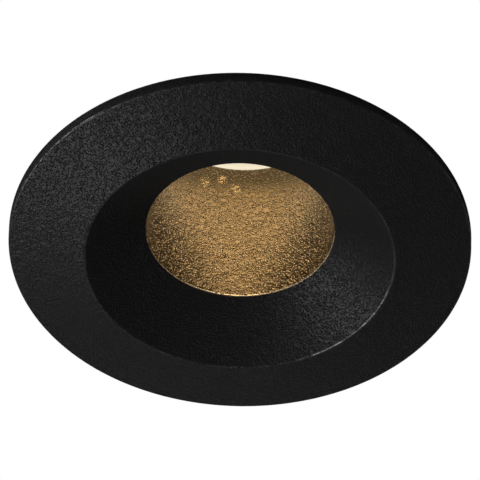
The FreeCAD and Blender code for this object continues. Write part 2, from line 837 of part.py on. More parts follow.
def heat_sink():
    """Cast cover: base, hub and radial fins, cut away round the cable gland."""
    body = new_body("heat_sink")
    pad(body, circles(body, "XY_Plane", ["housing_radius"], out=sink_level), "sink_base")
    soften_ring(body, "housing_radius", sink_top, "sink_bevel", "Chamfer")
    outer = "(housing_radius - sink_bevel)"
    high = f"({sink_top} + fin_height)"
    fin = pad(body, outline(body, "XZ_Plane", [
        ("fin_inner_radius", f"({sink_top} - sink_base / 2)"),
        (outer, f"({sink_top} - sink_base / 2)"),
        (outer, f"({high} - fin_bevel)"),
        (f"({outer} - fin_bevel)", high),
        ("(fin_inner_radius + hub_radius)", high),
        ("fin_inner_radius", f"({sink_top} + hub_height)"),
    ]), "fin_thickness", both_ways=True)
    doc.recompute()
    around(body, [fin], "fin_count")
    pad(body, circles(body, "XY_Plane", ["hub_radius"], out=f"({sink_top} - sink_base / 2)"),
        "hub_height + sink_base / 2")
    pocket(body, circles(body, "XY_Plane", ["gland_pocket_radius"], up="-gland_circle",
                         out=f"({high} + cut_overrun)"), "fin_height + cut_overrun")
    pocket(body, circles(body, "XY_Plane", ["gland_thread_radius"], up="-gland_circle",
                         out=f"({sink_top} + cut_overrun)"), "sink_base + 2 * cut_overrun")
    across = f"cover_screw_circle * cos({CASING_SCREW_START})"
    up = f"cover_screw_circle * sin({CASING_SCREW_START})"
    hole = circles(body, "XY_Plane", ["(screw_radius + hole_clearance)"], across, up,
                   f"({sink_top} + cut_overrun)")
    around(body, [pocket(body, hole, "sink_base + 2 * cut_overrun")], CASING_SCREWS)
    small = circles(body, "XY_Plane", ["small_screw_radius"], "clamp_screw_circle", out=sink_level)
    depth = "small_screw_length - clamp_thickness + clamp_head_sink"
    around(body, [pocket(body, small, depth, reverse=True)], PAIR)


def heat_sink_seal():
    """Flat silicone ring between the can's rim and the heat sink."""
    body = new_body("heat_sink_seal")
    rim = ["(housing_bore + cover_seal_margin)", "(housing_radius - cover_seal_margin)"]
    pad(body, circles(body, "XY_Plane", rim, out=housing_top), "cover_seal_thickness")


# Cable gland


def gland_body():
    """Hexagonal body screwed into the heat sink, with a hollow threaded stub."""
    body = new_body("gland_body")
    at = {"up": "-gland_circle"}
    stub_top = f"({sink_top} + gland_hex_height + gland_stub_height)"
    pad(body, circles(body, "XY_Plane", ["gland_thread_radius"], out=sink_level, **at), "sink_base")
    pad(body, outline(body, "XY_Plane", hexagon("gland_hex_radius"), out=sink_top, **at), "gland_hex_height")
    pad(body, circles(body, "XY_Plane", ["gland_stub_radius"],
                      out=f"({sink_top} + gland_hex_height)", **at), "gland_stub_height")
    pocket(body, circles(body, "XY_Plane", ["gland_bush_radius"], out=stub_top, **at), "gland_stub_height")
    pocket(body, circles(body, "XY_Plane", ["cable_radius"], out=stub_top, **at),
           f"{stub_top} - {sink_level} + cut_overrun")


def gland_seal():
    """Rubber bush that the nut squeezes on to the cable."""
    body = new_body("gland_seal")
    foot = f"({sink_top} + gland_hex_height)"
    pad(body, circles(body, "XY_Plane", ["cable_radius", "gland_bush_radius"], up="-gland_circle", out=foot),
        "gland_bush_height")


def gland_nut():
    """Domed nut with a hexagonal grip below."""
    body = new_body("gland_nut")
    at = {"up": "-gland_circle"}
    low = f"({sink_top} + gland_hex_height + nut_gap)"
    hex_top = f"({low} + nut_hex_height)"
    high = f"({low} + nut_height)"
    stub_top = f"({sink_top} + gland_hex_height + gland_stub_height)"
    pad(body, outline(body, "XY_Plane", hexagon("gland_hex_radius"), out=low, **at), "nut_hex_height")
    sketch = outline(body, "YZ_Plane", [
        ("0", hex_top),
        ("gland_hex_radius", hex_top),
        ("gland_hex_radius", f"({hex_top} + nut_gap)"),
        ("nut_dome_radius", high),
        ("0", high),
    ], across="-gland_circle")
    dome = add_feature(body, "Revolution", sketch)
    dome.ReferenceAxis = (sketch, ["V_Axis"])
    dome.Angle = FULL_TURN
    pocket(body, circles(body, "XY_Plane", ["gland_bush_radius"], out=f"({high} + cut_overrun)", **at),
           "nut_height + 2 * cut_overrun")
    pocket(body, circles(body, "XY_Plane", ["gland_stub_radius"], out=stub_top, **at), f"{stub_top} - {low}")


# Spring clips: each piece is made on the right side, and turned half round for the left


def clip_bracket(side):
    """Folded sheet: back plate, two ears for the pin, and the floor that stops the arm."""
    body = new_body("clip_bracket_" + side)
    front = "(clip_pad_reach + bracket_depth)"
    ear_high = f"({pin_level} + ear_top)"
    pad(body, outline(body, "XZ_Plane", [
        ("clip_pad_reach", flange_top),
        (front, flange_top),
        (front, ear_high),
        (f"({bracket_face} + ear_slope / 2)", ear_high),
        (bracket_face, f"({ear_high} + ear_slope)"),
        (bracket_face, bracket_top),
        ("clip_pad_reach", bracket_top),
    ]), "bracket_width", both_ways=True)
    doc.recompute()
    across_axis = FreeCAD.Vector(0, 1, 0)
    reach = value("edge_reach")
    corner = [
        lambda spot: abs(spot.x - value(front)) < reach,
        lambda spot: abs(spot.z - value(ear_high)) < reach,
    ]
    soften(body, edges_along(body.Shape, across_axis, corner), "ear_round")
    pocket(body, outline(body, "XZ_Plane", [
        (bracket_face, f"({flange_top} + bracket_sheet)"),
        (f"({front} + cut_overrun)", f"({flange_top} + bracket_sheet)"),
        (f"({front} + cut_overrun)", f"({bracket_top} + cut_overrun)"),
        (bracket_face, f"({bracket_top} + cut_overrun)"),
    ]), "bracket_width - 2 * bracket_sheet", both_ways=True)
    pin_hole = circles(body, "XZ_Plane", ["pin_radius"], "pin_reach", pin_level)
    pocket(body, pin_hole, "bracket_width + cut_overrun", both_ways=True)
    for level in bracket_screw_levels():
        hole = circles(body, "YZ_Plane", ["(small_screw_radius + hole_clearance)"], up=level,
                       out=f"({bracket_face} + cut_overrun)")
        pocket(body, hole, "bracket_sheet + 2 * cut_overrun")
    place(body, SIDES[side])


def bracket_screws(side):
    """Two low-headed screws through the bracket's back plate."""
    body = new_body("bracket_screws_" + side, several=True)
    for level in bracket_screw_levels():
        turn(body, [
            ("small_head_height", "0"),
            ("small_head_height", "small_head_radius"),
            ("0", "small_head_radius"),
            ("0", "small_screw_radius"),
            ("(-small_screw_length)", "small_screw_radius"),
            ("(-small_screw_length)", "0"),
        ], bracket_face, level, axis="H_Axis")
        socket = outline(body, "YZ_Plane", hexagon("(small_head_radius * socket_share)"), up=level,
                         out=f"({bracket_face} + small_head_height)")
        pocket(body, socket, "small_head_height * socket_depth_share")
    place(body, SIDES[side])


def clip_pin(side):
    """Rivet pin through the bracket's ears, with a head at each end."""
    body = new_body("clip_pin_" + side)
    half = "(bracket_width / 2)"
    shaft = circles(body, "XZ_Plane", ["pin_radius"], "pin_reach", pin_level)
    pad(body, shaft, "bracket_width", both_ways=True)
    for out, reverse in ((half, False), (f"(-{half})", True)):
        head = circles(body, "XZ_Plane", ["pin_head_radius"], "pin_reach", pin_level, out)
        pad(body, head, "pin_head_height", reverse=reverse)
    place(body, SIDES[side])


def arm_placement(side):
    """Where a clip's moving pieces lie at rest: on the pin, drooping to the stop."""
    down = FreeCAD.Rotation(FreeCAD.Vector(0, 1, 0), value(droop_angle))
    on_pin = FreeCAD.Placement(FreeCAD.Vector(value("pin_reach"), 0, value(pin_level)), down)
    about = FreeCAD.Rotation(FreeCAD.Vector(0, 0, 1), SIDES[side])
    return FreeCAD.Placement(FreeCAD.Vector(), about).multiply(on_pin)


def spring_clip(side):
    """Pressed channel: two flanges on the pin, a web between them, and a flat tip."""
    body = new_body("spring_clip_" + side)
    drop = "(-arm_flange_drop)"
    pad(body, outline(body, "XZ_Plane", [
        ("0", drop),
        ("arm_taper_start", drop),
        ("arm_taper_end", "arm_web_rise"),
        ("arm_length", "arm_web_rise"),
        ("arm_length", arm_web_top),
        ("0", arm_web_top),
    ]), "arm_width", both_ways=True)
    pad(body, circles(body, "XZ_Plane", ["arm_flange_drop"]), "arm_width", both_ways=True)
    doc.recompute()
    upright = FreeCAD.Vector(0, 0, 1)
    reach = value("edge_reach")
    tip = [lambda spot: abs(spot.x - value("arm_length")) < reach]
    soften(body, edges_along(body.Shape, upright, tip), "arm_corner")
    beyond = "(arm_flange_drop + cut_overrun)"
    pocket(body, outline(body, "XZ_Plane", [
        (f"(-{beyond})", f"(-{beyond})"),
        ("arm_taper_end", f"(-{beyond})"),
        ("arm_taper_end", "arm_web_rise"),
        ("arm_web_start", "arm_web_rise"),
        ("arm_web_start", beyond),
        (f"(-{beyond})", beyond),
    ]), "arm_inner_width", both_ways=True)
    bore = circles(body, "XZ_Plane", ["(pin_radius + arm_bore_clearance)"])
    pocket(body, bore, "arm_width + cut_overrun", both_ways=True)
    above = f"({arm_web_top} + cut_overrun)"
    slot = circles(body, "XY_Plane", ["arm_slot_radius"], "arm_slot_place", out=above)
    pocket(body, slot, "arm_sheet + 2 * cut_overrun")
    body.Placement = arm_placement(side)
    return body


def clip_sleeve(side, arm):
    """Soft sleeve pushed over the arm's flat tip, cut to fit it."""
    block = doc.addObject("Part::Box", "sleeve_block_" + side)
    sizes = {
        "Length": "sleeve_length",
        "Width": "arm_width + 2 * sleeve_wall",
        "Height": "arm_sheet + 2 * sleeve_wall",
    }
    for name, text in sizes.items():
        block.setExpression(name, bound(text))
    corner = FreeCAD.Vector(
        value("arm_length + sleeve_wall - sleeve_length"),
        value("-(arm_width / 2 + sleeve_wall)"),
        value("arm_web_rise - sleeve_wall"),
    )
    block.Placement = arm_placement(side).multiply(FreeCAD.Placement(corner, FreeCAD.Rotation()))
    doc.recompute()
    soft = doc.addObject("Part::Fillet", "sleeve_soft_" + side)
    soft.Base = block
    outer = value("sleeve_round")
    tip = value("arm_corner + sleeve_wall")
    soft.Edges = sleeve_edges(block.Shape, arm_placement(side), outer, tip)
    sleeve = doc.addObject("Part::Cut", "clip_sleeve_" + side)
    sleeve.Label = "clip_sleeve_" + side
    sleeve.Base = soft
    sleeve.Tool = arm
    parts.append(sleeve)


def sleeve_edges(shape, placement, outer, tip):
    """Fillet list of the block: wide rounds at the tip's upright corners, small ones elsewhere."""
    upright = placement.Rotation.multVec(FreeCAD.Vector(0, 0, 1))
    outward = placement.Rotation.multVec(FreeCAD.Vector(1, 0, 0))
    middle = shape.CenterOfMass
    chosen = []
    for number, edge in enumerate(shape.Edges, 1):
        at_tip = (edge.CenterOfMass - middle).dot(outward) > value("sleeve_length") / 4
        stands = abs(edge.Curve.Direction.dot(upright)) > 1 / 2
        if stands:
            chosen.append((number, tip if at_tip else outer, tip if at_tip else outer))
    return chosen


# Torsion spring, one unbroken wire


def arc_from(start, heading, end):
    """The arc that leaves start along heading and passes through end."""
    chord = end - start
    half_angle = heading.getAngle(chord)
    apex = start + heading * (chord.Length / 2 / math.cos(half_angle))
    middle = (start + end) * 0.5
    share = math.tan(half_angle / 2) / math.tan(half_angle)
    return Part.Arc(start, middle + (apex - middle) * share, end)


def biarc(start, heading, end, arrival):
    """Two arcs that join two points with given headings."""
    chord = end - start
    both = chord.dot(heading + arrival)
    spread = 2 * (1 - heading.dot(arrival))
    reach = (math.sqrt(both ** 2 + spread * chord.dot(chord)) - both) / spread
    joint = (start + heading * reach + end - arrival * reach) * 0.5
    back = arc_from(end, arrival * -1, joint)
    middle = back.value((back.FirstParameter + back.LastParameter) / 2)
    return [arc_from(start, heading, joint), Part.Arc(joint, middle, end)]


def coil_point(wound):
    """A point of the coil and its heading, both from the turns wound so far."""
    radius, pitch, turns = value("coil_radius"), value("coil_pitch"), value("coil_turns + coil_end_share")
    angle = math.pi / 2 + math.tau * wound
    along = pitch * (wound - turns / 2)
    spot = FreeCAD.Vector(radius * math.cos(angle), along, radius * math.sin(angle))
    heading = FreeCAD.Vector(-math.sin(angle) * radius * math.tau, pitch, math.cos(angle) * radius * math.tau)
    return spot, heading.normalize()


def spring_path():
    """Edges of the wire's centre line: long leg, turns about the pin's axis, short leg."""
    half_turns = round(2 * value("coil_turns"))
    winds = [step / 2 for step in range(half_turns + 1)] + [value("coil_turns + coil_end_share")]
    stations = [coil_point(wound) for wound in winds]
    droop = math.radians(value(droop_angle))
    stations[0] = (stations[0][0], FreeCAD.Vector(-1, 0, 0))
    stations[-1] = (stations[-1][0], leg_heading(droop))
    first = stations[0][0] + FreeCAD.Vector(value("spring_long_leg"), 0, 0)
    short_leg = value("pin_rise - bracket_sheet - spring_leg_gap")
    last = stations[-1][0] + leg_heading(droop) * short_leg
    edges = [Part.LineSegment(first, stations[0][0])]
    for (start, heading), (end, arrival) in zip(stations, stations[1:]):
        edges += biarc(start, heading, end, arrival)
    edges.append(Part.LineSegment(stations[-1][0], last))
    return [edge.toShape() for edge in edges]


def leg_heading(droop):
    """Down along the bracket's back plate, seen from the drooping arm."""
    return FreeCAD.Vector(math.sin(droop), 0, -math.cos(droop))


def torsion_spring(side):
    """The spring's wire as one swept tube."""
    edges = spring_path()
    wire = Part.Wire(edges)
    start = edges[0].valueAt(edges[0].FirstParameter)
    circle = Part.Circle(start, FreeCAD.Vector(1, 0, 0), value("wire_radius"))
    spring = doc.addObject("Part::Feature", "torsion_spring_" + side)
    spring.Label = "torsion_spring_" + side
    spring.Shape = wire.makePipeShell([Part.Wire([circle.toShape()])], True, False)
    spring.Placement = arm_placement(side)
    parts.append(spring)
    return wire


def least_gap(wire):
    """The least gap between turns of the wire, between points half a turn or more apart."""
    points = wire.discretize(Number=400)
    apart = math.pi * value("coil_radius")
    step = wire.Length / (len(points) - 1)
    skip = math.ceil(apart / step)
    gaps = [
        first.distanceToPoint(second)
        for number, first in enumerate(points)
        for second in points[number + skip:]
    ]
    return min(gaps) - 2 * value("wire_radius")


# The assembly

trim_ring()
ceiling_gasket()
aperture_tube()
glass_disc()
glass_seal()
glass_retaining_ring()
housing()
casing_screws("trim_screws", "trim_screw_circle", flange_top)
tir_lens()
lens_holder()
square_plate("led_substrate", board_level, "board_thickness")
square_plate("thermal_pad", f"({sink_level} - thermal_pad_thickness)", "thermal_pad_thickness")
led_emitter()
led_holder()
led_holder_screws()
heat_sink()
heat_sink_seal()
casing_screws("heat_sink_screws", "cover_screw_circle", sink_top)
gland_body()
gland_seal()
gland_nut()
for side in SIDES:
    clip_bracket(side)
    bracket_screws(side)
    clip_pin(side)
    clip_sleeve(side, spring_clip(side))
    wire = torsion_spring(side)
print("droop angle", round(value(droop_angle), 3), "least gap of the spring", round(least_gap(wire), 3))

# Check and export

doc.recompute()
for item in doc.Objects:
    if "Invalid" in item.State or "Error" in item.State:
        raise ValueError(item.Label + " has failed")
for part in parts:
    if part.Shape.isNull() or not part.Shape.isValid():
        raise ValueError(part.Label + " has no valid shape")
os.makedirs("parts", exist_ok=True)
for part in parts:
    part.Shape.exportStep("parts/" + part.Label + ".step")
    print(part.Label, len(part.Shape.Solids), round(part.Shape.Volume, 1))
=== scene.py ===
import math

import bmesh
import bpy
import numpy as np
from mathutils import Matrix, Vector


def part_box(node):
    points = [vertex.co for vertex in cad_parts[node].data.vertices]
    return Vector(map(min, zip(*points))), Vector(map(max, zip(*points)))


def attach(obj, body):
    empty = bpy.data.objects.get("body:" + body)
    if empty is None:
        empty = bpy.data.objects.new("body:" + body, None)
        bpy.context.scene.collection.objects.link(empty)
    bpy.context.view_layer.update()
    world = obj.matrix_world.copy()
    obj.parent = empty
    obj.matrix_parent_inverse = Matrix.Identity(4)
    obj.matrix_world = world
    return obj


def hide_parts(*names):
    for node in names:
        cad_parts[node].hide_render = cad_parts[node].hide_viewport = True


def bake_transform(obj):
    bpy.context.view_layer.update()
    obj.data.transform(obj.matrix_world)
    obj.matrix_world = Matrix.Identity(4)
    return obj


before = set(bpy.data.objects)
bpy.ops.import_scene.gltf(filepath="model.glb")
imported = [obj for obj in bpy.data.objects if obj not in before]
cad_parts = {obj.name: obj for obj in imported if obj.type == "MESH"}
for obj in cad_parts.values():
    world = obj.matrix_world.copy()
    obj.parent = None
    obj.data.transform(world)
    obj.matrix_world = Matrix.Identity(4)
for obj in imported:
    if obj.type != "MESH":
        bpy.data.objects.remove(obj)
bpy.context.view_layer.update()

# The bezel. The real piece is one zinc or aluminium die casting: a thin side wall, an outer face
# that slopes down to a soft ridge, and a cone that goes back up to the aperture. Its black powder
# coat has a fine sand texture that catches the light as specks.

MM = 0.001
FACE_EDGE = -2.95 * MM
RIDGE_RADIUS = 30.15 * MM
RIDGE_LEVEL = FACE_EDGE - 3.7 * MM
APERTURE_RADIUS = 18.35 * MM
APERTURE_LEVEL = RIDGE_LEVEL + 8.2 * MM
LIP_HEIGHT = 0.4 * MM
TUBE_SEAT = APERTURE_LEVEL + LIP_HEIGHT
BEZEL_BACK = -0.5 * MM


def rounded(corners, steps=6):
    """A closed outline of (radius, height, round) corners as an array of points.

    Each round is an arc that touches both sides of its corner: the centre lies on the corner's
    bisector, at round / sin(half angle) from it.
    """
    spots = np.array([corner[:2] for corner in corners], float)
    points = []
    for index, corner in enumerate(corners):
        spot = spots[index]
        back = spots[index - 1] - spot
        onward = spots[(index + 1) % len(spots)] - spot
        back /= np.linalg.norm(back)
        onward /= np.linalg.norm(onward)
        if len(corner) < 3:
            points.append(spot[None, :])
            continue
        half = math.acos(np.clip(back @ onward, -1, 1)) / 2
        middle = (back + onward) / np.linalg.norm(back + onward)
        centre = spot + middle * corner[2] / math.sin(half)
        start = spot + back * corner[2] / math.tan(half) - centre
        end = spot + onward * corner[2] / math.tan(half) - centre
        share = np.linspace(0, 1, steps + 1)[:, None]
        turn = math.pi - 2 * half
        arc = (np.sin((1 - share) * turn) * start + np.sin(share * turn) * end) / math.sin(turn)
        points.append(centre + arc)
    return np.concatenate(points)


def grid_faces(rows, columns, wrap_rows, wrap_columns):
    """Quads between neighbours of a grid of points, with either way closed on itself."""
    row = np.arange(rows if wrap_rows else rows - 1)
    column = np.arange(columns if wrap_columns else columns - 1)
    row, column = [side.ravel() for side in np.meshgrid(row, column, indexing="ij")]
    down, right = (row + 1) % rows, (column + 1) % columns
    corners = [row * columns + column, row * columns + right, down * columns + right, down * columns + column]
    return np.stack(corners, 1)


def add_object(name, data):
    """An object with its data, linked to the scene."""
    thing = bpy.data.objects.new(name, data)
    bpy.context.scene.collection.objects.link(thing)
    return thing


def new_piece(name, surface, material, body="root"):
    """An object from points and faces, its doubles merged and its normals turned outwards.

    It rides on a body, or on none.
    """
    points, faces = surface
    mesh = bpy.data.meshes.new(name)
    mesh.from_pydata(np.asarray(points).reshape(-1, 3).tolist(), [], np.asarray(faces).tolist())
    work = bmesh.new()
    work.from_mesh(mesh)
    bmesh.ops.remove_doubles(work, verts=work.verts, dist=0.001 * MM)
    bmesh.ops.recalc_face_normals(work, faces=work.faces)
    work.to_mesh(mesh)
    work.free()
    mesh.polygons.foreach_set("use_smooth", np.ones(len(mesh.polygons), bool))
    mesh.materials.append(material)
    piece = add_object(name, mesh)
    piece.modifiers.new("even_shading", "WEIGHTED_NORMAL").keep_sharp = True
    if body:
        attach(piece, body)
    return piece


def full_circle(segments):
    """Even angles all the way round, as a column."""
    return np.linspace(0, math.tau, segments, endpoint=False)[:, None]


def swept(radius, height, angle, centre=(0, 0)):
    """Points and faces round an upright axis: (r cos a, r sin a, z), with one row for each angle a."""
    points = np.stack([
        centre[0] + radius * np.cos(angle),
        centre[1] + radius * np.sin(angle),
        height + 0 * angle,
    ], -1)
    return points.reshape(-1, 3), grid_faces(len(angle), height.shape[1], True, True)


def turned(outline, segments=192, centre=(0, 0)):
    """An outline of (radius, height) corners turned about an upright axis."""
    radius, height = outline.T[:, None, :]
    return swept(radius, height, full_circle(segments), centre)


def joined(*surfaces):
    """Several surfaces, each of points and quads, as one."""
    points, faces, count = [], [], 0
    for spots, quads in surfaces:
        points.append(spots)
        faces.append(quads + count)
        count += len(spots)
    return np.concatenate(points), np.concatenate(faces)


def new_material(name, base, roughness, metallic=0.0, specular=0.5):
    """A material with a Principled shader, and its nodes and links."""
    material = bpy.data.materials.new(name)
    material.use_nodes = True
    tree = material.node_tree
    shader = tree.nodes["Principled BSDF"]
    shader.inputs["Base Color"].default_value = (*base, 1)
    shader.inputs["Roughness"].default_value = roughness
    shader.inputs["Metallic"].default_value = metallic
    shader.inputs["Specular IOR Level"].default_value = specular
    return material, tree, shader


def add_node(tree, kind, settings=None, **inputs):
    """A shader node of a kind, with properties and input values or links.

    Inputs go by their names, or by their numbers as i0, i1 and so on.
    """
    node = tree.nodes.new("ShaderNode" + kind)
    for name, value in (settings or {}).items():
        setattr(node, name, value)
    for name, value in inputs.items():
        socket = node.inputs[int(name[1:])] if name[0] == "i" and name[1:].isdigit() else node.inputs[name]
        if isinstance(value, bpy.types.NodeSocket):
            tree.links.new(value, socket)
        else:
            socket.default_value = value
    return node


def on_piece(tree):
    """The point in the piece's own coordinates."""
    return add_node(tree, "TexCoord").outputs["Object"]


def remap(tree, value, low, high, to_low=0.0, to_high=1.0, way="LINEAR"):
    """A value between low and high, mapped to between two others and held there."""
    node = add_node(tree, "MapRange", {"interpolation_type": way}, i0=value, i1=low, i2=high, i3=to_low,
                    i4=to_high)
    return node.outputs[0]


def between(tree, share, first, second):
    """A colour between two others."""
    return add_node(tree, "Mix", {"data_type": "RGBA"}, i0=share, i6=(*first, 1), i7=(*second, 1)).outputs[2]


def sand_grain():
    """Group: the sand texture of a powder coat, as a height and as a mask of its crests.

    The crests are the middles of stirred cells, and the height adds a coarser swell to them.
    """
    group = bpy.data.node_groups.new("sand_grain", "ShaderNodeTree")
    for name, way in (("Scale", "INPUT"), ("Height", "OUTPUT"), ("Crests", "OUTPUT")):
        group.interface.new_socket(name, in_out=way, socket_type="NodeSocketFloat")
    given, result = group.nodes.new("NodeGroupInput"), group.nodes.new("NodeGroupOutput")
    scale = given.outputs["Scale"]
    where = on_piece(group)
    stir = add_node(group, "TexNoise", Vector=where, Scale=scale)
    shift = add_node(group, "VectorMath", {"operation": "SCALE"}, i0=stir.outputs["Color"], Scale=0.35 * MM)
    stirred = add_node(group, "VectorMath", {"operation": "ADD"}, i0=where, i1=shift.outputs[0])
    grains = add_node(group, "TexVoronoi", {"feature": "SMOOTH_F1"}, Vector=stirred.outputs[0],
                      Scale=scale, Smoothness=0.3)
    crests = remap(group, grains.outputs["Distance"], 0.55, 0.10, way="SMOOTHSTEP")
    coarse = add_node(group, "Math", {"operation": "MULTIPLY"}, i0=scale, i1=0.37)
    swells = add_node(group, "TexNoise", Vector=where, Scale=coarse.outputs[0], Detail=2.0)
    height = add_node(group, "Math", {"operation": "MULTIPLY_ADD"}, i0=swells.outputs["Fac"], i1=1.2,
                      i2=crests)
    group.links.new(height.outputs[0], result.inputs["Height"])
    group.links.new(crests, result.inputs["Crests"])
    return group


GRAIN = sand_grain()


def coat(name, low, high, roughness, grain_scale, relief, metallic=0.0, specular=0.5):
    """A sand-textured coat: its colour goes from low in the pits to high on the crests."""
    material, tree, shader = new_material(name, low, roughness, metallic, specular)
    grain = add_node(tree, "Group", {"node_tree": GRAIN}, Scale=grain_scale)
    colour = between(tree, grain.outputs["Crests"], low, high)
    bump = add_node(tree, "Bump", Height=grain.outputs["Height"], Distance=relief)
    tree.links.new(colour, shader.inputs["Base Color"])
    tree.links.new(bump.outputs[0], shader.inputs["Normal"])
    return material, tree, shader


def from_axis(tree):
    """The point's distance from the light's axis, and its height."""
    place = add_node(tree, "SeparateXYZ", Vector=on_piece(tree))
    flat = add_node(tree, "CombineXYZ", X=place.outputs["X"], Y=place.outputs["Y"])
    length = add_node(tree, "VectorMath", {"operation": "LENGTH"}, i0=flat.outputs[0])
    return length.outputs["Value"], place.outputs["Z"]


trim_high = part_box("trim_ring")[1]
trim_radius, collar_top = trim_high.x, trim_high.z
GLOSS, SLANTING_GLOSS = 0.40, 0.9
BAND_END, BAND_FULL = 0.36 * MM, 0.2 * MM
black_coat, tree, shader = coat("black_sand_coat", (0.0048, 0.0048, 0.0049), (0.006, 0.006, 0.0061), GLOSS,
                                grain_scale=2700, relief=0.126 * MM, specular=0.19)

# Seen at a slant, the coat's grains hide each other's gloss. On the outer edge and the ridge the
# powder has run smooth and glossy in patches, so that a lamp draws fine broken lines there.

away = add_node(tree, "LayerWeight", Blend=0.5).outputs["Facing"]
gloss = remap(tree, away, 0.5, 0.8, GLOSS, SLANTING_GLOSS)
radius, height = from_axis(tree)
section = add_node(tree, "CombineXYZ", X=radius, Z=height)
from_edge, from_ridge = [
    add_node(tree, "VectorMath", {"operation": "DISTANCE"}, i0=section.outputs[0],
             i1=(ring, 0, level)).outputs["Value"]
    for ring, level in ((trim_radius, FACE_EDGE), (RIDGE_RADIUS, RIDGE_LEVEL))
]
nearer = add_node(tree, "Math", {"operation": "MINIMUM"}, i0=from_edge, i1=from_ridge)
patches = add_node(tree, "TexNoise", Vector=on_piece(tree), Scale=700, Detail=2.0)
patchy = remap(tree, patches.outputs["Fac"], 0.4, 0.65, 0.15, 1.0)
smooth = remap(tree, nearer.outputs[0], BAND_END, BAND_FULL, 0.0, patchy)
tree.links.new(gloss, shader.inputs["Roughness"])
tree.links.new(smooth, shader.inputs["Coat Weight"])
shader.inputs["Coat Roughness"].default_value = 0.16

# Behind the face a recess holds the gasket, a collar fills the ceiling hole, the casting is
# hollowed to an even wall, and a socket round the aperture seats the tube.

RECESS_INNER, RECESS_OUTER, RECESS_LEVEL = 38.5 * MM, 43.5 * MM, -1.0 * MM
COLLAR_RADIUS, COLLAR_BORE = 36.5 * MM, 34.5 * MM
HOLLOW_RADIUS, HOLLOW_LEVEL, HOLLOW_DROP = 30.6 * MM, -3.4 * MM, 0.5 * MM
SOCKET_RADIUS, SOCKET_OUTER, SOCKET_DEPTH = 20.0 * MM, 21.8 * MM, 1.5 * MM
SOCKET_FOOT = 1.5 * MM
trim_outline = rounded([
    (APERTURE_RADIUS, APERTURE_LEVEL, 0.15 * MM),
    (RIDGE_RADIUS, RIDGE_LEVEL, 0.8 * MM),
    (trim_radius, FACE_EDGE, 0.35 * MM),
    (trim_radius, BEZEL_BACK, 0.15 * MM),
    (RECESS_OUTER, BEZEL_BACK, 0.1 * MM),
    (RECESS_OUTER, RECESS_LEVEL),
    (RECESS_INNER, RECESS_LEVEL),
    (RECESS_INNER, BEZEL_BACK, 0.1 * MM),
    (COLLAR_RADIUS, BEZEL_BACK, 0.2 * MM),
    (COLLAR_RADIUS, collar_top, 0.5 * MM),
    (COLLAR_BORE, collar_top, 0.2 * MM),
    (COLLAR_BORE, HOLLOW_LEVEL, 0.8 * MM),
    (HOLLOW_RADIUS, HOLLOW_LEVEL - HOLLOW_DROP, 1.0 * MM),
    (SOCKET_OUTER, SOCKET_FOOT, 0.4 * MM),
    (SOCKET_OUTER, TUBE_SEAT + SOCKET_DEPTH, 0.2 * MM),
    (SOCKET_RADIUS, TUBE_SEAT + SOCKET_DEPTH, 0.1 * MM),
    (SOCKET_RADIUS, TUBE_SEAT),
    (APERTURE_RADIUS, TUBE_SEAT, 0.1 * MM),
])
BOSS_CIRCLE, BOSS_RADIUS, BOSS_FOOT = 31.0 * MM, 2.7 * MM, -3.0 * MM
BOSS_TURNS = np.radians([90, 210, 330])
TAP_RADIUS, TAP_DEPTH = 1.5 * MM, 5.0 * MM
screw_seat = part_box("housing")[0].z
boss_outline = rounded([
    (0, BOSS_FOOT),
    (BOSS_RADIUS, BOSS_FOOT),
    (BOSS_RADIUS, screw_seat, 0.2 * MM),
    (TAP_RADIUS, screw_seat, 0.1 * MM),
    (TAP_RADIUS, screw_seat - TAP_DEPTH),
    (0, screw_seat - TAP_DEPTH),
])
bosses = [
    turned(boss_outline, 32, (BOSS_CIRCLE * math.cos(turn), BOSS_CIRCLE * math.sin(turn)))
    for turn in BOSS_TURNS
]
trim = new_piece("bezel", joined(turned(trim_outline, 256), *bosses), black_coat)
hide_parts("trim_ring")

# The ceiling gasket: a ring of closed-cell foam, punched from sheet and glued into the shallow
# recess of the bezel's back, where the ceiling board presses on it.

foam, tree, shader = new_material("closed_cell_foam", (0.03, 0.03, 0.03), 0.95, specular=0.2)
cells = add_node(tree, "TexVoronoi", {"feature": "F1"}, Vector=on_piece(tree), Scale=2600)
tint = between(tree, cells.outputs["Distance"], (0.014, 0.014, 0.014), (0.05, 0.05, 0.05))
dents = add_node(tree, "Bump", Height=cells.outputs["Distance"], Distance=0.12 * MM)
tree.links.new(tint, shader.inputs["Base Color"])
tree.links.new(dents.outputs[0], shader.inputs["Normal"])
gasket_low, gasket_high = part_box("ceiling_gasket")
GASKET_WIDTH = 5.0 * MM
gasket_outline = rounded([
    (gasket_high.x - GASKET_WIDTH, gasket_low.z, 0.1 * MM),
    (gasket_high.x, gasket_low.z, 0.1 * MM),
    (gasket_high.x, gasket_high.z, 0.25 * MM),
    (gasket_high.x - GASKET_WIDTH, gasket_high.z, 0.25 * MM),
])
gasket = new_piece("foam_gasket", turned(gasket_outline, 192), foam)
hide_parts("ceiling_gasket")

# The aperture tube. Behind the aperture stands a deep tube that hides the lamp from the side. Its
# wall has a speckled bronze-gold coat, and its top widens into the cup for the front glass.

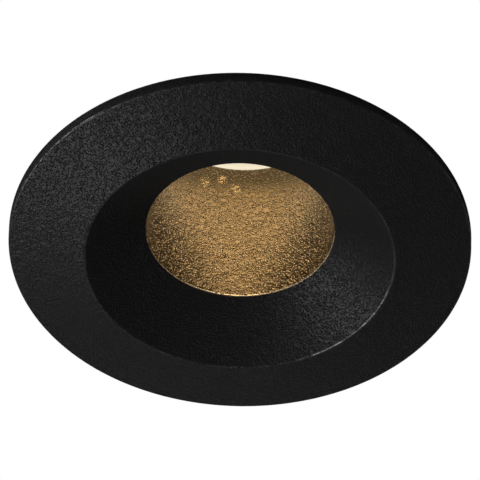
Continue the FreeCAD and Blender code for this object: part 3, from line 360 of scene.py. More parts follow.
TUBE_RADIUS, TUBE_OUTER = 18.3 * MM, 19.9 * MM
FLARE_LOW, FLARE_HIGH = 31.45 * MM, 34.75 * MM
CUP_RADIUS, CUP_LEVEL = 21.5 * MM, 36.55 * MM
tube_low, tube_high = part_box("aperture_tube")
bronze_coat = coat("bronze_sand_coat", (0.11, 0.075, 0.038), (0.46, 0.335, 0.18), 0.28,
                   grain_scale=2200, relief=0.14 * MM, metallic=1.0)[0]
tube_outline = rounded([
    (TUBE_RADIUS, tube_low.z, 0.1 * MM),
    (TUBE_OUTER, tube_low.z, 0.3 * MM),
    (TUBE_OUTER, FLARE_LOW, 1.5 * MM),
    (tube_high.x, FLARE_HIGH, 1.5 * MM),
    (tube_high.x, tube_high.z, 0.3 * MM),
    (CUP_RADIUS, tube_high.z, 0.2 * MM),
    (CUP_RADIUS, CUP_LEVEL),
    (TUBE_RADIUS, CUP_LEVEL, 0.25 * MM),
])
tube = new_piece("glare_tube", turned(tube_outline, 256), bronze_coat)
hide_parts("aperture_tube")

# The bezel's inner lip is coated together with the tube, so the bronze runs out to the very edge.
# There it lies thinner and smoother than on the wall, and mirrors the lit glass as a fine line.

lip_bronze, tree, shader = new_material("smooth_bronze", (0.56, 0.46, 0.32), 0.35, metallic=1.0)
wear = add_node(tree, "TexNoise", Vector=on_piece(tree), Scale=1900, Detail=2.0)
tree.links.new(remap(tree, wear.outputs["Fac"], 0.42, 0.58, 0.15, 0.8), shader.inputs["Roughness"])
trim.data.materials.append(lip_bronze)
centres = np.empty(3 * len(trim.data.polygons))
trim.data.polygons.foreach_get("center", centres)
x, y, z = centres.reshape(-1, 3).T
LIP_REACH, LIP_TOP = APERTURE_RADIUS + 0.12 * MM, TUBE_SEAT + 0.1 * MM
on_lip = (np.hypot(x, y) < LIP_REACH) & (z < LIP_TOP)
trim.data.polygons.foreach_set("material_index", on_lip.astype(np.int32))

# The glass seal and its threaded ring. A soft silicone ring of an L section lies under the glass
# and round it, and a black anodised ring with two key slots is screwed into the cup above it.


def dress(node, material):
    """Give a piece of the frame its finish."""
    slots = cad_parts[node].data.materials
    slots.clear()
    slots.append(material)


def grained(name, base, roughness, scale, relief, spread=0.15, metallic=0.0, specular=0.5,
            squeeze=(1, 1, 1)):
    """A plain finish with a fine relief. Its tone and sheen drift a little, nine times as coarsely.

    squeeze packs the grain closer along an axis, and so draws it out across that axis.
    """
    material, tree, shader = new_material(name, base, roughness, metallic, specular)
    where = add_node(tree, "Mapping", Vector=on_piece(tree), Scale=squeeze)
    fine = add_node(tree, "TexNoise", Vector=where.outputs[0], Scale=scale, Detail=4.0)
    broad = add_node(tree, "TexNoise", Vector=where.outputs[0], Scale=scale / 9, Detail=3.0)
    dull = [channel * (1 - spread) for channel in base]
    bright = [min(1.0, channel * (1 + spread)) for channel in base]
    tone = between(tree, broad.outputs["Fac"], dull, bright)
    sheen = remap(tree, broad.outputs["Fac"], 0.3, 0.7, roughness * 0.85, min(1.0, roughness * 1.15))
    bump = add_node(tree, "Bump", Height=fine.outputs["Fac"], Distance=relief)
    tree.links.new(tone, shader.inputs["Base Color"])
    tree.links.new(sheen, shader.inputs["Roughness"])
    tree.links.new(bump.outputs[0], shader.inputs["Normal"])
    return material


silicone = grained("milky_silicone", (0.62, 0.60, 0.56), 0.45, 1500, 0.02 * MM)
dress("glass_seal", silicone)
anodised = grained("black_anodised", (0.10, 0.10, 0.10), 0.35, 1200, 0.01 * MM, metallic=0.8,
                   squeeze=(1, 1, 14))
dress("glass_retaining_ring", anodised)

# The front glass: a flat disc of tempered glass, etched satin, with ground and bevelled edges. It
# lies in the tube's cup on its silicone seal, and glows evenly when the lamp behind it is on.

GLASS_BEVEL = 0.3 * MM
glass_low, glass_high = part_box("glass_disc")
satin_glass, tree, shader = new_material("satin_glass", (0.93, 0.92, 0.88), 0.3)
shader.inputs["Emission Color"].default_value = (1.0, 0.90, 0.66, 1)
shader.inputs["Emission Strength"].default_value = 0.8
dust = add_node(tree, "TexNoise", Vector=on_piece(tree), Scale=900, Detail=3.0)
tree.links.new(remap(tree, dust.outputs["Fac"], 0.5, 0.8, 0.01, 0.12), shader.inputs["Roughness"])
glass_outline = rounded([
    (0, glass_low.z),
    (glass_high.x, glass_low.z, GLASS_BEVEL),
    (glass_high.x, glass_high.z, GLASS_BEVEL),
    (0, glass_high.z),
])
glass = new_piece("front_glass", turned(glass_outline, 128), satin_glass)
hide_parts("glass_disc")

# The lens: a clear moulded cone whose flat front glows when the lamp is on. Its front has fine
# round steps, which spread the light, and its back a well round the LED.

STEP_COUNT, STEP_HEIGHT = 10, 0.12 * MM
RIM_BEVEL, RIM_HEIGHT = 0.3 * MM, 1.4 * MM
LENS_TOP_RADIUS, WELL_RADIUS = 10.5 * MM, 7.6 * MM
WELL_WALL, WELL_DEPTH = 3.0 * MM, 6.0 * MM
lens_low, lens_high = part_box("tir_lens")
lit_lens, tree, shader = new_material("lit_lens", (0.9, 0.88, 0.8), 0.2)
shader.inputs["Emission Color"].default_value = (1.0, 0.82, 0.52, 1)
shader.inputs["Emission Strength"].default_value = 1.0
glow = add_node(tree, "ValToRGB", Fac=remap(tree, from_axis(tree)[0], 0.0, lens_high.x))
glow.color_ramp.elements[0].color = (1.0, 0.86, 0.60, 1)
glow.color_ramp.elements[1].color = (0.60, 0.48, 0.28, 1)
tree.links.new(glow.outputs[0], shader.inputs["Emission Color"])
steps = np.linspace(0, 1, 60)
front = np.stack([
    steps * (lens_high.x - RIM_BEVEL),
    lens_low.z + STEP_HEIGHT * (1 - np.cos(steps * math.tau * STEP_COUNT)) / 2,
], 1)
lens_outline = np.concatenate([front, [
    (lens_high.x, lens_low.z + RIM_BEVEL),
    (lens_high.x, lens_low.z + RIM_HEIGHT),
    (LENS_TOP_RADIUS, lens_high.z),
    (WELL_RADIUS, lens_high.z),
    (WELL_RADIUS, lens_high.z - WELL_WALL),
    (0, lens_high.z - WELL_DEPTH),
]])
lens = new_piece("lit_lens", turned(lens_outline, 96), lit_lens)
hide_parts("tir_lens")

# The housing: a die-cast can with a flange, eight upright cooling ribs on each free side, and a
# flat pad on each side for a clip bracket. It has a satin black powder coat.


def smooth_step(value, low, high):
    """0 below low, 1 above high, and 3t^2 - 2t^3 between, t being the share of the way."""
    share = np.clip((value - low) / (high - low), 0, 1)
    return share * share * (3 - 2 * share)


HOUSING_WALL, FLANGE_THICKNESS = 2.0 * MM, 2.0 * MM
LEDGE_LIP, LEDGE_THICKNESS = 0.1 * MM, 2.0 * MM
PAD_HALF_WIDTH, PAD_TOP = 8.0 * MM, 28.0 * MM
RIB_REACH, RIB_HALF_WIDTH = 1.4 * MM, 0.8 * MM
RIB_LOW, RIB_HIGH = 9.6 * MM, 54.8 * MM
RIB_ANGLES = np.radians([start + 16 * step for start in (34, 214) for step in range(8)])
housing_low, housing_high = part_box("housing")
can_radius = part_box("heat_sink")[1].x
pad_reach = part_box("clip_bracket_right")[0].x
flange_top = housing_low.z + FLANGE_THICKNESS


def can_angles():
    """Angles round the can, close together where a rib or a pad starts and ends."""
    half_rib = np.radians([0, 0.6, 1.2, 1.5, 1.62, 1.7, 1.8, 2.0, 2.4])
    near_rib = np.concatenate([-half_rib[:0:-1], half_rib])
    near_pad = np.radians([0, 5, 10, 14, 15.4, 15.8, 16.1, 16.5, 16.9, 17.2, 17.4, 17.8, 18.5])
    pads = [middle + side * near_pad for middle in (0, math.pi) for side in (-1, 1)]
    ribs = [middle + near_rib for middle in RIB_ANGLES]
    plain = np.radians(np.arange(0, 360, 2.5))
    angles = np.concatenate(pads + ribs + [plain]) % math.tau
    angles = np.sort(np.round(angles, 5))
    return angles[np.concatenate([[True], np.diff(angles) > math.radians(0.06)])]


def lower_of(first, second, blur=0.12 * MM):
    """The smaller of two lengths, with the corner between them rounded: -b log(e^(-x/b) + e^(-y/b))."""
    return -blur * np.logaddexp(-first / blur, -second / blur)


def can_surface(outline):
    """The turned outline, pushed out over ribs and pads.

    A rib's flanks lie at half its width from its middle plane, so there the radius is
    half / sin(a), up to the crest. A pad's face lies at pad_reach / cos(a), between flanks at
    half / sin(a). Both fade in and out along the height.
    """
    angle = can_angles()[:, None]
    radius, height = outline.T[:, None, :]
    from_rib = np.abs((angle[:, :, None] - RIB_ANGLES + math.pi) % math.tau - math.pi).min(2)
    rib = lower_of(can_radius + RIB_REACH + 0 * from_rib, RIB_HALF_WIDTH / np.sin(np.maximum(from_rib, 0.01)))
    from_pad = np.abs((angle + math.pi / 2) % math.pi - math.pi / 2)
    flank = PAD_HALF_WIDTH / np.sin(np.maximum(from_pad, 0.05))
    pad = lower_of(pad_reach / np.cos(np.minimum(from_pad, 1.0)), flank)
    fade, slack = 0.3 * MM, 0.01 * MM
    rib_share = smooth_step(height, RIB_LOW, RIB_LOW + fade)
    rib_share = rib_share * (1 - smooth_step(height, RIB_HIGH - fade, RIB_HIGH))
    pad_share = 1 - smooth_step(height, PAD_TOP, PAD_TOP + fade)
    outside = (radius > can_radius - slack) & (height > flange_top - slack)
    rib_rise = np.maximum(rib - can_radius, 0) * rib_share
    pad_rise = np.maximum(pad - can_radius, 0) * pad_share
    raised = can_radius + np.maximum(rib_rise, pad_rise)
    return swept(np.where(outside, np.maximum(radius, raised), radius), height, angle)


# The wall's rings lie close together where the pads and ribs start and end.

wall_levels = np.array([9.0, 9.6, 9.7, 9.8, 9.9, 10.5, 19, 27.5, 28.0, 28.1, 28.2, 28.3, 29, 42, 54, 54.5,
                        54.6, 54.7, 54.8, 55.4]) * MM
can_bore = can_radius - HOUSING_WALL
ledge_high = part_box("lens_holder")[0].z
ledge_low = ledge_high - LEDGE_THICKNESS
ledge_bore = glass_high.x - LEDGE_LIP
can_outline = rounded([
    (can_bore, housing_low.z, 0.3 * MM),
    (housing_high.x, housing_low.z, 0.4 * MM),
    (housing_high.x, flange_top, 0.5 * MM),
    (can_radius, flange_top, 0.9 * MM),
    *[(can_radius, level) for level in wall_levels],
    (can_radius, housing_high.z, 0.3 * MM),
    (can_bore, housing_high.z, 0.2 * MM),
    (can_bore, ledge_high, 0.5 * MM),
    (ledge_bore, ledge_high, 0.3 * MM),
    (ledge_bore, ledge_low, 0.3 * MM),
    (can_bore, ledge_low, 0.5 * MM),
])
satin_coat = coat("satin_black_coat", (0.013, 0.013, 0.014), (0.022, 0.022, 0.023), 0.38,
                  grain_scale=1800, relief=0.03 * MM)[0]
can = new_piece("ribbed_housing", can_surface(can_outline), satin_coat)
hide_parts("housing")

# The heat sink: a die-cast, blasted cover whose eighteen upright fins run out from a hub. Where
# the cable gland stands the fins are cut away, and what is left of the nearest ones is short.


def plate(outline, low, high, soft, place, steps=3):
    """A flat plate from a closed outline, with edges softened all round.

    Its layers lie at low + soft (1 - cos a), drawn in by soft (1 - sin a) along the outline's
    normals, for a from 0 to a right angle, and the same down from the top. Both faces close on
    their middle. place turns (x, y, z) rows into the part's own place.
    """
    outline = np.asarray(outline, float)
    side = np.roll(outline, -1, 0) - outline
    side /= np.linalg.norm(side, axis=1)[:, None]
    normal = np.stack([side[:, 1], -side[:, 0]], 1)
    before = np.roll(normal, 1, 0)
    mitre = (before + normal) / (1 + (before * normal).sum(1))[:, None]
    turn = np.linspace(0, math.pi / 2, steps + 1)
    inset = soft * (1 - np.sin(turn))
    rise = soft * (1 - np.cos(turn))
    inset = np.concatenate([inset, inset[::-1]])
    level = np.concatenate([low + rise, (high - rise)[::-1]])
    layers = outline[None] - mitre[None] * inset[:, None, None]
    middle = np.broadcast_to(outline.mean(0), (1, *outline.shape))
    layers = np.concatenate([middle, layers, middle])
    level = np.concatenate([[low], level, [high]])
    points = np.concatenate([layers, np.broadcast_to(level[:, None, None], (*layers.shape[:2], 1))], 2)
    return place(points.reshape(-1, 3)), grid_faces(len(layers), len(outline), False, True)


sink_low, sink_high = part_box("heat_sink")
SINK_BASE, SINK_BEVEL = 4.0 * MM, 0.8 * MM
FIN_COUNT, FIN_HALF = 18, 0.8 * MM
FIN_INNER, FIN_BEVEL = 3.0 * MM, 3.0 * MM
HUB_RADIUS, HUB_HEIGHT = 5.5 * MM, 9.0 * MM
POCKET_RADIUS = 10.2 * MM
gland_low, gland_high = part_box("gland_body")
gland_place = (0.0, (gland_low.y + gland_high.y) / 2)
sink_top = sink_low.z + SINK_BASE
fin_outer = sink_high.x - SINK_BEVEL


def fin_height(radius):
    """Top of a fin at a radius: it climbs 2 to 1 from the hub, runs level, and is bevelled outside."""
    climb = sink_top + HUB_HEIGHT + 2 * (radius - FIN_INNER)
    bevel = sink_high.z - FIN_BEVEL + fin_outer - radius
    return np.minimum(np.minimum(climb, bevel), sink_high.z)


def fin_spans(turn):
    """The stretches of a fin that the gland's pocket leaves, from its inner to its outer radius."""
    along = abs(gland_place[1]) * math.cos(turn + math.pi / 2)
    aside = abs(gland_place[1]) * math.sin(turn + math.pi / 2)
    if along < 0 or abs(aside) >= POCKET_RADIUS:
        return [(FIN_INNER, fin_outer)]
    half = math.sqrt(POCKET_RADIUS ** 2 - aside ** 2)
    spans = [(FIN_INNER, along - half), (along + half, fin_outer)]
    return [span for span in spans if span[1] - span[0] > 2 * FIN_HALF]


def fin(turn, span):
    """One fin plate: its outline in radius and height, laid upright at an angle."""
    corners = [FIN_INNER + (sink_high.z - sink_top - HUB_HEIGHT) / 2, fin_outer - FIN_BEVEL]
    bends = [corner for corner in corners[::-1] if span[0] < corner < span[1]]
    radii = np.array([span[1], *bends, span[0]])
    top = np.stack([radii, fin_height(radii)], 1)
    foot = sink_top - SINK_BASE / 2
    outline = np.concatenate([[(span[0], foot), (span[1], foot)], top])
    across = np.array([-math.sin(turn), math.cos(turn), 0])
    outward = np.array([math.cos(turn), math.sin(turn), 0])

    def upright(points):
        return points[:, :1] * outward + points[:, 1:2] * (0, 0, 1) - points[:, 2:] * across

    return plate(outline, -FIN_HALF, FIN_HALF, 0.3 * MM, upright)


turns = [math.tau * number / FIN_COUNT for number in range(FIN_COUNT)]
fins = [fin(turn, span) for turn in turns for span in fin_spans(turn)]
base_outline = rounded([
    (0, sink_low.z),
    (sink_high.x, sink_low.z, 0.2 * MM),
    (sink_high.x, sink_top, SINK_BEVEL),
    (HUB_RADIUS, sink_top, 0.6 * MM),
    (HUB_RADIUS, sink_top + HUB_HEIGHT, 0.5 * MM),
    (0, sink_top + HUB_HEIGHT),
])
cast_aluminium = grained("blasted_casting", (0.56, 0.56, 0.57), 0.48, 3200, 0.03 * MM, metallic=0.95)
sink = new_piece("finned_cover", joined(turned(base_outline, 144), *fins), cast_aluminium)
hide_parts("heat_sink")

# The casing screws: M3 pan heads with hex sockets, bright zinc. Three hold the bezel to the
# housing's flange and three hold the heat sink to the housing.

HEX_SIDES = 6
SOCKET_SHARE, SOCKET_DEPTH_SHARE = 0.45, 0.55


def from_flat(angle):
    """The angle from the middle of the nearest of a hexagon's flats."""
    return (angle + math.pi / HEX_SIDES) % (math.tau / HEX_SIDES) - math.pi / HEX_SIDES


def keyed(outline, place):
    """A turned outline with a hexagon in it, put in place by a function of its points.

    The third column gives how six-sided each ring is, k from 0 to 1: its radius at an angle a is
    r (1 - k + k / cos(a')), a' being the angle from the nearest flat's middle.
    """
    angle = full_circle(48)
    radius, height, share = outline.T[:, None, :]
    radius = radius * (1 - share + share / np.cos(from_flat(angle)))
    points, faces = swept(radius, height, angle)
    return place(points), faces


def socket_screw(place, head_radius, head_height, radius, length):
    """A pan-headed screw along Z with its seat at zero: a domed head, a hex socket and a shank."""
    socket = SOCKET_SHARE * head_radius
    floor = head_height * (1 - SOCKET_DEPTH_SHARE)
    crown = head_height - 0.1 * MM
    outline = np.array([
        (0, floor, 0),
        (socket, floor, 1),
        (socket, crown, 1),
        (socket + 0.12 * MM, head_height, 0.6),
        (head_radius * 0.78, crown, 0),
        (head_radius * 0.93, head_height * 0.8, 0),
        (head_radius, head_height * 0.45, 0),
        (head_radius, 0.08 * MM, 0),
        (head_radius - 0.08 * MM, 0, 0),
        (radius, 0, 0),
        (radius, -length + 0.3 * MM, 0),
        (radius - 0.3 * MM, -length, 0),
        (0, -length, 0),
    ])
    return keyed(outline, place)


def moved(offset):
    """A placing that only moves."""
    return lambda points: points + offset


bright_zinc = grained("bright_zinc", (0.60, 0.60, 0.61), 0.30, 900, 0.006 * MM, metallic=1.0)
CASING_SCREW = {"head_radius": 2.75 * MM, "head_height": 1.8 * MM, "radius": 1.5 * MM, "length": 7.0 * MM}
COVER_CIRCLE = 22.9 * MM
for name, node, circle, seat in (
    ("flange_screws", "trim_screws", BOSS_CIRCLE, flange_top),
    ("cover_screws", "heat_sink_screws", COVER_CIRCLE, sink_top),
):
    places = [(circle * math.cos(turn), circle * math.sin(turn), seat) for turn in BOSS_TURNS]
    screws = [socket_screw(moved(place), **CASING_SCREW) for place in places]
    piece = new_piece(name, joined(*screws), bright_zinc)
    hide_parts(node)

# The inner pieces, which the housing hides: the seal under the heat sink, the plastic lens
# holder, and the LED's board, emitter, clamp, screws and heat pad. They keep the frame's shapes.

white_plastic = grained("white_plastic", (0.82, 0.81, 0.78), 0.5, 1800, 0.01 * MM, spread=0.03)
dress("heat_sink_seal", silicone)
dress("lens_holder", white_plastic)
dress("led_holder", white_plastic)
dress("led_substrate", grained("white_ceramic", (0.86, 0.86, 0.84), 0.4, 2500, 0.004 * MM, spread=0.02))
phosphor = grained("yellow_phosphor", (0.95, 0.72, 0.18), 0.35, 5000, 0.02 * MM, spread=0.08)
shader = phosphor.node_tree.nodes["Principled BSDF"]
shader.inputs["Emission Color"].default_value = (1.0, 0.80, 0.45, 1)
shader.inputs["Emission Strength"].default_value = 1.0
dress("led_emitter", phosphor)
dress("led_holder_screws", bright_zinc)
dress("thermal_pad", grained("grey_heat_pad", (0.35, 0.37, 0.40), 0.8, 3000, 0.02 * MM))

# The cable gland: a black polyamide body and domed nut, both with a six-sided grip whose corners
# are chamfered, and a black rubber bush that closes round the cable.

polyamide = grained("black_polyamide", (0.02, 0.02, 0.02), 0.42, 2600, 0.02 * MM, spread=0.25)
rubber = grained("black_rubber", (0.02, 0.02, 0.02), 0.75, 2200, 0.02 * MM, spread=0.3, specular=0.3)
GRIP_FLAT, GRIP_HEIGHT, NUT_GRIP_HEIGHT = 7.5 * MM, 4.0 * MM, 5.0 * MM
CHAMFER_IN, CHAMFER_RISE, DOME_WALL = 0.7 * MM, 0.4 * MM, 0.9 * MM
CABLE_RADIUS, BUSH_RADIUS, STEM_RADIUS, STUB_RADIUS = 3.3 * MM, 4.4 * MM, 6.0 * MM, 5.8 * MM
THREAD_RINGS, THREAD_DEPTH, THREAD_END = 24, 0.18 * MM, 0.4 * MM
grip_corner = GRIP_FLAT / math.cos(math.pi / HEX_SIDES)
body_top = sink_top + GRIP_HEIGHT


def gripped(outline, centre):
    """A turned outline cut to six flats: the radius is the smaller of r and flat / cos(a')."""
    angle = full_circle(144)
    radius, height = outline.T[:, None, :]
    return swept(np.minimum(radius, GRIP_FLAT / np.cos(from_flat(angle))), height, angle, centre)


thread_levels = np.linspace(body_top + THREAD_END, gland_high.z - THREAD_END, THREAD_RINGS)
thread = STUB_RADIUS - THREAD_DEPTH * (np.arange(THREAD_RINGS) % 2)
gland_outline = np.concatenate([rounded([
    (CABLE_RADIUS, gland_low.z, 0.3 * MM),
    (STEM_RADIUS, gland_low.z, 0.3 * MM),
    (STEM_RADIUS, sink_top),
    (grip_corner - CHAMFER_IN, sink_top),
    (grip_corner, sink_top + CHAMFER_RISE),
    (grip_corner, body_top - CHAMFER_RISE),
    (grip_corner - CHAMFER_IN, body_top),
    (STUB_RADIUS, body_top),
]), np.stack([thread, thread_levels], 1), [
    (STUB_RADIUS - THREAD_END, gland_high.z),
    (BUSH_RADIUS, gland_high.z),
    (BUSH_RADIUS, body_top),
    (CABLE_RADIUS, body_top),
]])
gland = new_piece("gland_base", gripped(gland_outline, gland_place), polyamide)
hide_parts("gland_body")
nut_low, nut_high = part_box("gland_nut")
nut_shoulder = nut_low.z + NUT_GRIP_HEIGHT
nut_outline = rounded([
    (STUB_RADIUS, nut_low.z, 0.2 * MM),
    (grip_corner - CHAMFER_IN, nut_low.z),
    (grip_corner, nut_low.z + CHAMFER_RISE),
    (grip_corner, nut_shoulder - 0.5 * MM),
    (GRIP_FLAT, nut_shoulder, 0.1 * MM),
    (GRIP_FLAT - 0.2 * MM, nut_shoulder + 0.9 * MM, 0.8 * MM),
    (BUSH_RADIUS + DOME_WALL, nut_high.z, 0.6 * MM),
    (BUSH_RADIUS, nut_high.z, 0.2 * MM),
    (BUSH_RADIUS, gland_high.z),
    (STUB_RADIUS, gland_high.z),
])
nut = new_piece("gland_cap", gripped(nut_outline, gland_place), polyamide)
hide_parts("gland_nut")
bush_low, bush_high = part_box("gland_seal")
bush_outline = rounded([
    (CABLE_RADIUS, bush_low.z, 0.2 * MM),
    (BUSH_RADIUS, bush_low.z, 0.2 * MM),
    (BUSH_RADIUS, bush_high.z, 0.3 * MM),
    (CABLE_RADIUS, bush_high.z, 0.4 * MM),
])
bush = new_piece("rubber_bush", turned(bush_outline, 64, gland_place), rubber)
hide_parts("gland_seal")

# The clip brackets: zinc-plated sheet, folded into a back plate, a floor and two ears, and fixed
# to the housing's pads with two low-headed screws each.


def softened(name, node, width, material, body="root"):
    """A pressed piece: the frame's shape with its flats made whole and its edges softened."""
    work = bmesh.new()
    work.from_mesh(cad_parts[node].data)
    bmesh.ops.remove_doubles(work, verts=work.verts, dist=0.002 * MM)
    bmesh.ops.dissolve_limit(work, angle_limit=math.radians(0.5), verts=work.verts, edges=work.edges)
    mesh = bpy.data.meshes.new(name)
    work.to_mesh(mesh)
    work.free()
    mesh.polygons.foreach_set("use_smooth", np.ones(len(mesh.polygons), bool))
    mesh.materials.append(material)
    piece = add_object(name, mesh)
    bevel = piece.modifiers.new("soft_edges", "BEVEL")
    bevel.width = width
    bevel.segments = 2
    bevel.limit_method = "ANGLE"
    bevel.angle_limit = math.radians(35)
    piece.modifiers.new("even_shading", "WEIGHTED_NORMAL").keep_sharp = True
    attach(piece, body)
    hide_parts(node)


SIDES = {"right": 1, "left": -1}
SMALL_SCREW = {"head_radius": 2.2 * MM, "head_height": 1.2 * MM, "radius": 1.25 * MM, "length": 4.6 * MM}
screw_low, screw_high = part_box("bracket_screws_right")
small_screw_levels = (screw_low.z + SMALL_SCREW["head_radius"], screw_high.z - SMALL_SCREW["head_radius"])
bracket_face = screw_high.x - SMALL_SCREW["head_height"]
pressed_zinc = grained("pressed_zinc", (0.60, 0.60, 0.61), 0.36, 700, 0.008 * MM, metallic=1.0,
                       squeeze=(1, 1, 5))


def on_side(side, points):
    """Points made for the right side, turned half round about Z for the left."""
    return points * (SIDES[side], SIDES[side], 1)


def into_pad(side, level):
    """A placing that turns a screw to point at the housing, at a level on one side."""
    return lambda points: on_side(
        side, np.stack([bracket_face + points[:, 2], points[:, 1], level - points[:, 0]], 1))


for side in SIDES:
    softened(f"bracket_{side}", f"clip_bracket_{side}", 0.18 * MM, pressed_zinc)
    screws = [socket_screw(into_pad(side, level), **SMALL_SCREW) for level in small_screw_levels]
    piece = new_piece(f"small_screws_{side}", joined(*screws), bright_zinc)
    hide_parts(f"bracket_screws_{side}")

# The clip pins: plain zinc-plated steel rivets, headed over at both ends outside the brackets'
# ears. They stay fixed in the ears, and the arms turn on them.

PIN_RADIUS, HEAD_HEIGHT = 1.5 * MM, 0.8 * MM
pin_low, pin_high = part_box("clip_pin_right")
pin_centre = (pin_low + pin_high) / 2
head_radius = (pin_high.z - pin_low.z) / 2
ear_reach = pin_high.y - HEAD_HEIGHT
pin_half = np.array([
    (0, pin_high.y),
    (0.45 * head_radius, pin_high.y - 0.03 * MM),
    (0.75 * head_radius, pin_high.y - 0.15 * MM),
    (0.93 * head_radius, pin_high.y - 0.35 * MM),
    (head_radius, ear_reach + 0.1 * MM),
    (head_radius - 0.1 * MM, ear_reach),
    (PIN_RADIUS, ear_reach),
])
pin_outline = np.concatenate([pin_half, (pin_half * (1, -1))[::-1]])
pin_outline = np.column_stack([pin_outline, np.zeros(len(pin_outline))])


def across_ears(side):
    """A placing that lays a pin along Y through the ears of one side."""
    return lambda points: on_side(
        side, np.stack([pin_centre.x + points[:, 0], points[:, 2], pin_centre.z + points[:, 1]], 1))


for side in SIDES:
    pin = keyed(pin_outline, across_ears(side))
    piece = new_piece(f"rivet_{side}", pin, bright_zinc)
    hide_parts(f"clip_pin_{side}")

# The spring clips: pressed steel channels that swing on the pins, each with a soft vinyl sleeve
# on its flat tip, which holds the ceiling board without marking it.

DROOP = math.radians(14.141)
ARM_LENGTH, WEB_LOW, WEB_HIGH = 31.0 * MM, 0.6 * MM, 1.8 * MM
SLEEVE_WALL, SLEEVE_LENGTH, SLEEVE_HALF_WIDTH = 1.0 * MM, 10.5 * MM, 7.6 * MM
SLEEVE_CORNER, SLEEVE_HEEL, SLEEVE_ROUND = 4.5 * MM, 0.8 * MM, 0.9 * MM
spring_steel = grained("spring_steel", (0.42, 0.42, 0.42), 0.3, 1100, 0.006 * MM, metallic=1.0,
                       squeeze=(1, 6, 1))
vinyl = grained("dipped_vinyl", (0.09, 0.09, 0.095), 0.55, 1500, 0.03 * MM)


def on_arm(side, points):
    """Points made along the arm, from the pin: drooped to rest and put on their side."""
    along, across, up = points.T
    placed = np.stack([
        pin_centre.x + along * math.cos(DROOP) + up * math.sin(DROOP),
        across,
        pin_centre.z - along * math.sin(DROOP) + up * math.cos(DROOP),
    ], 1)
    return on_side(side, placed)


sleeve_tip = ARM_LENGTH + SLEEVE_WALL
sleeve_outline = rounded([
    (sleeve_tip - SLEEVE_LENGTH, -SLEEVE_HALF_WIDTH, SLEEVE_HEEL),
    (sleeve_tip, -SLEEVE_HALF_WIDTH, SLEEVE_CORNER),
    (sleeve_tip, SLEEVE_HALF_WIDTH, SLEEVE_CORNER),
    (sleeve_tip - SLEEVE_LENGTH, SLEEVE_HALF_WIDTH, SLEEVE_HEEL),
], 10)
for side in SIDES:
    softened(f"arm_{side}", f"spring_clip_{side}", 0.2 * MM, spring_steel, f"clip_{side}")
    sleeve = plate(sleeve_outline, WEB_LOW - SLEEVE_WALL, WEB_HIGH + SLEEVE_WALL, SLEEVE_ROUND,
                   lambda points, side=side: on_arm(side, points), 5)
    piece = new_piece(f"sleeve_{side}", sleeve, vinyl, f"clip_{side}")
    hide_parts(f"clip_sleeve_{side}")

# The torsion springs: one hard-drawn wire each, wound round the pin, with a long leg under the
# arm's web and a short one down the bracket's back plate.

WIRE_RADIUS, LONG_LEG, SHORT_LEG = 0.5 * MM, 11.0 * MM, 3.9 * MM
COIL_RADIUS, COIL_ADVANCE, COIL_TURNS = 2.6 * MM, 2.0 * MM, 4.25


def spring_line():
    """Points along the wire's middle, in the arm's frame.

    The coil is a helix about the Y axis: (R cos a, p (w - turns / 2), R sin a), with
    a = 90 degrees + a full turn for each turn w wound. The long leg runs along X from its start,
    and the short one down the back plate from its end.
    """
    wound = np.linspace(0, COIL_TURNS, 240)
    angle = math.pi / 2 + math.tau * wound
    coil = np.stack([
        COIL_RADIUS * np.cos(angle),
        COIL_ADVANCE * (wound - COIL_TURNS / 2),
        COIL_RADIUS * np.sin(angle),
    ], 1)
    long_leg = coil[0] + np.linspace(1, 0, 12, endpoint=False)[:, None] * (LONG_LEG, 0, 0)
    down = np.array((math.sin(DROOP), 0, -math.cos(DROOP)))
    short_leg = coil[-1] + np.linspace(0, 1, 7)[1:, None] * down * SHORT_LEG
    return np.concatenate([long_leg, coil, short_leg])


def wire_tube(line, radius, sides=12):
    """A tube along a line that never runs along Y: its rings lie across the line's own heading.

    Each ring's first axis is Y less its part along the heading, and its second is square to both.
    The tube's ends close on points of the line.
    """
    heading = np.gradient(line, axis=0)
    heading /= np.linalg.norm(heading, axis=1)[:, None]
    first = np.array((0, 1, 0)) - heading * heading[:, 1:2]
    first /= np.linalg.norm(first, axis=1)[:, None]
    second = np.cross(heading, first)
    angle = full_circle(sides)
    rings = line[:, None] + radius * (np.cos(angle) * first[:, None] + np.sin(angle) * second[:, None])
    ends = [np.broadcast_to(line[end], (1, sides, 3)) for end in (0, -1)]
    rings = np.concatenate([ends[0], rings, ends[1]])
    return rings.reshape(-1, 3), grid_faces(len(rings), sides, False, True)


line = spring_line()
for side, sign in SIDES.items():
    points, faces = wire_tube(line, WIRE_RADIUS)
    spring = new_piece(f"spring_{side}", (on_arm(side, points), faces), spring_steel, None)
    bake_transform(spring)
    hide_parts(f"torsion_spring_{side}")

# The room: a ceiling board that the light sits in, a pale floor well below it, and white beyond.
# The board shows white from the room, and is open to view from above, where the housing stands.


def stage_material(name, colour):
    """Plain stage colour: the camera sees its front white, and its back is open to view."""
    material, tree, shader = new_material(name, colour, 0.9, specular=0.0)
    path = add_node(tree, "LightPath")
    shine = add_node(tree, "Emission", Color=(1, 1, 1, 1), Strength=1.0)
    front = add_node(tree, "MixShader", i0=path.outputs["Is Camera Ray"], i1=shader.outputs[0],
                     i2=shine.outputs[0])
    shown = add_node(tree, "MixShader", i0=add_node(tree, "NewGeometry").outputs["Backfacing"],
                     i1=front.outputs[0], i2=add_node(tree, "BsdfTransparent").outputs[0])
    tree.links.new(shown.outputs[0], tree.nodes["Material Output"].inputs["Surface"])
    return material


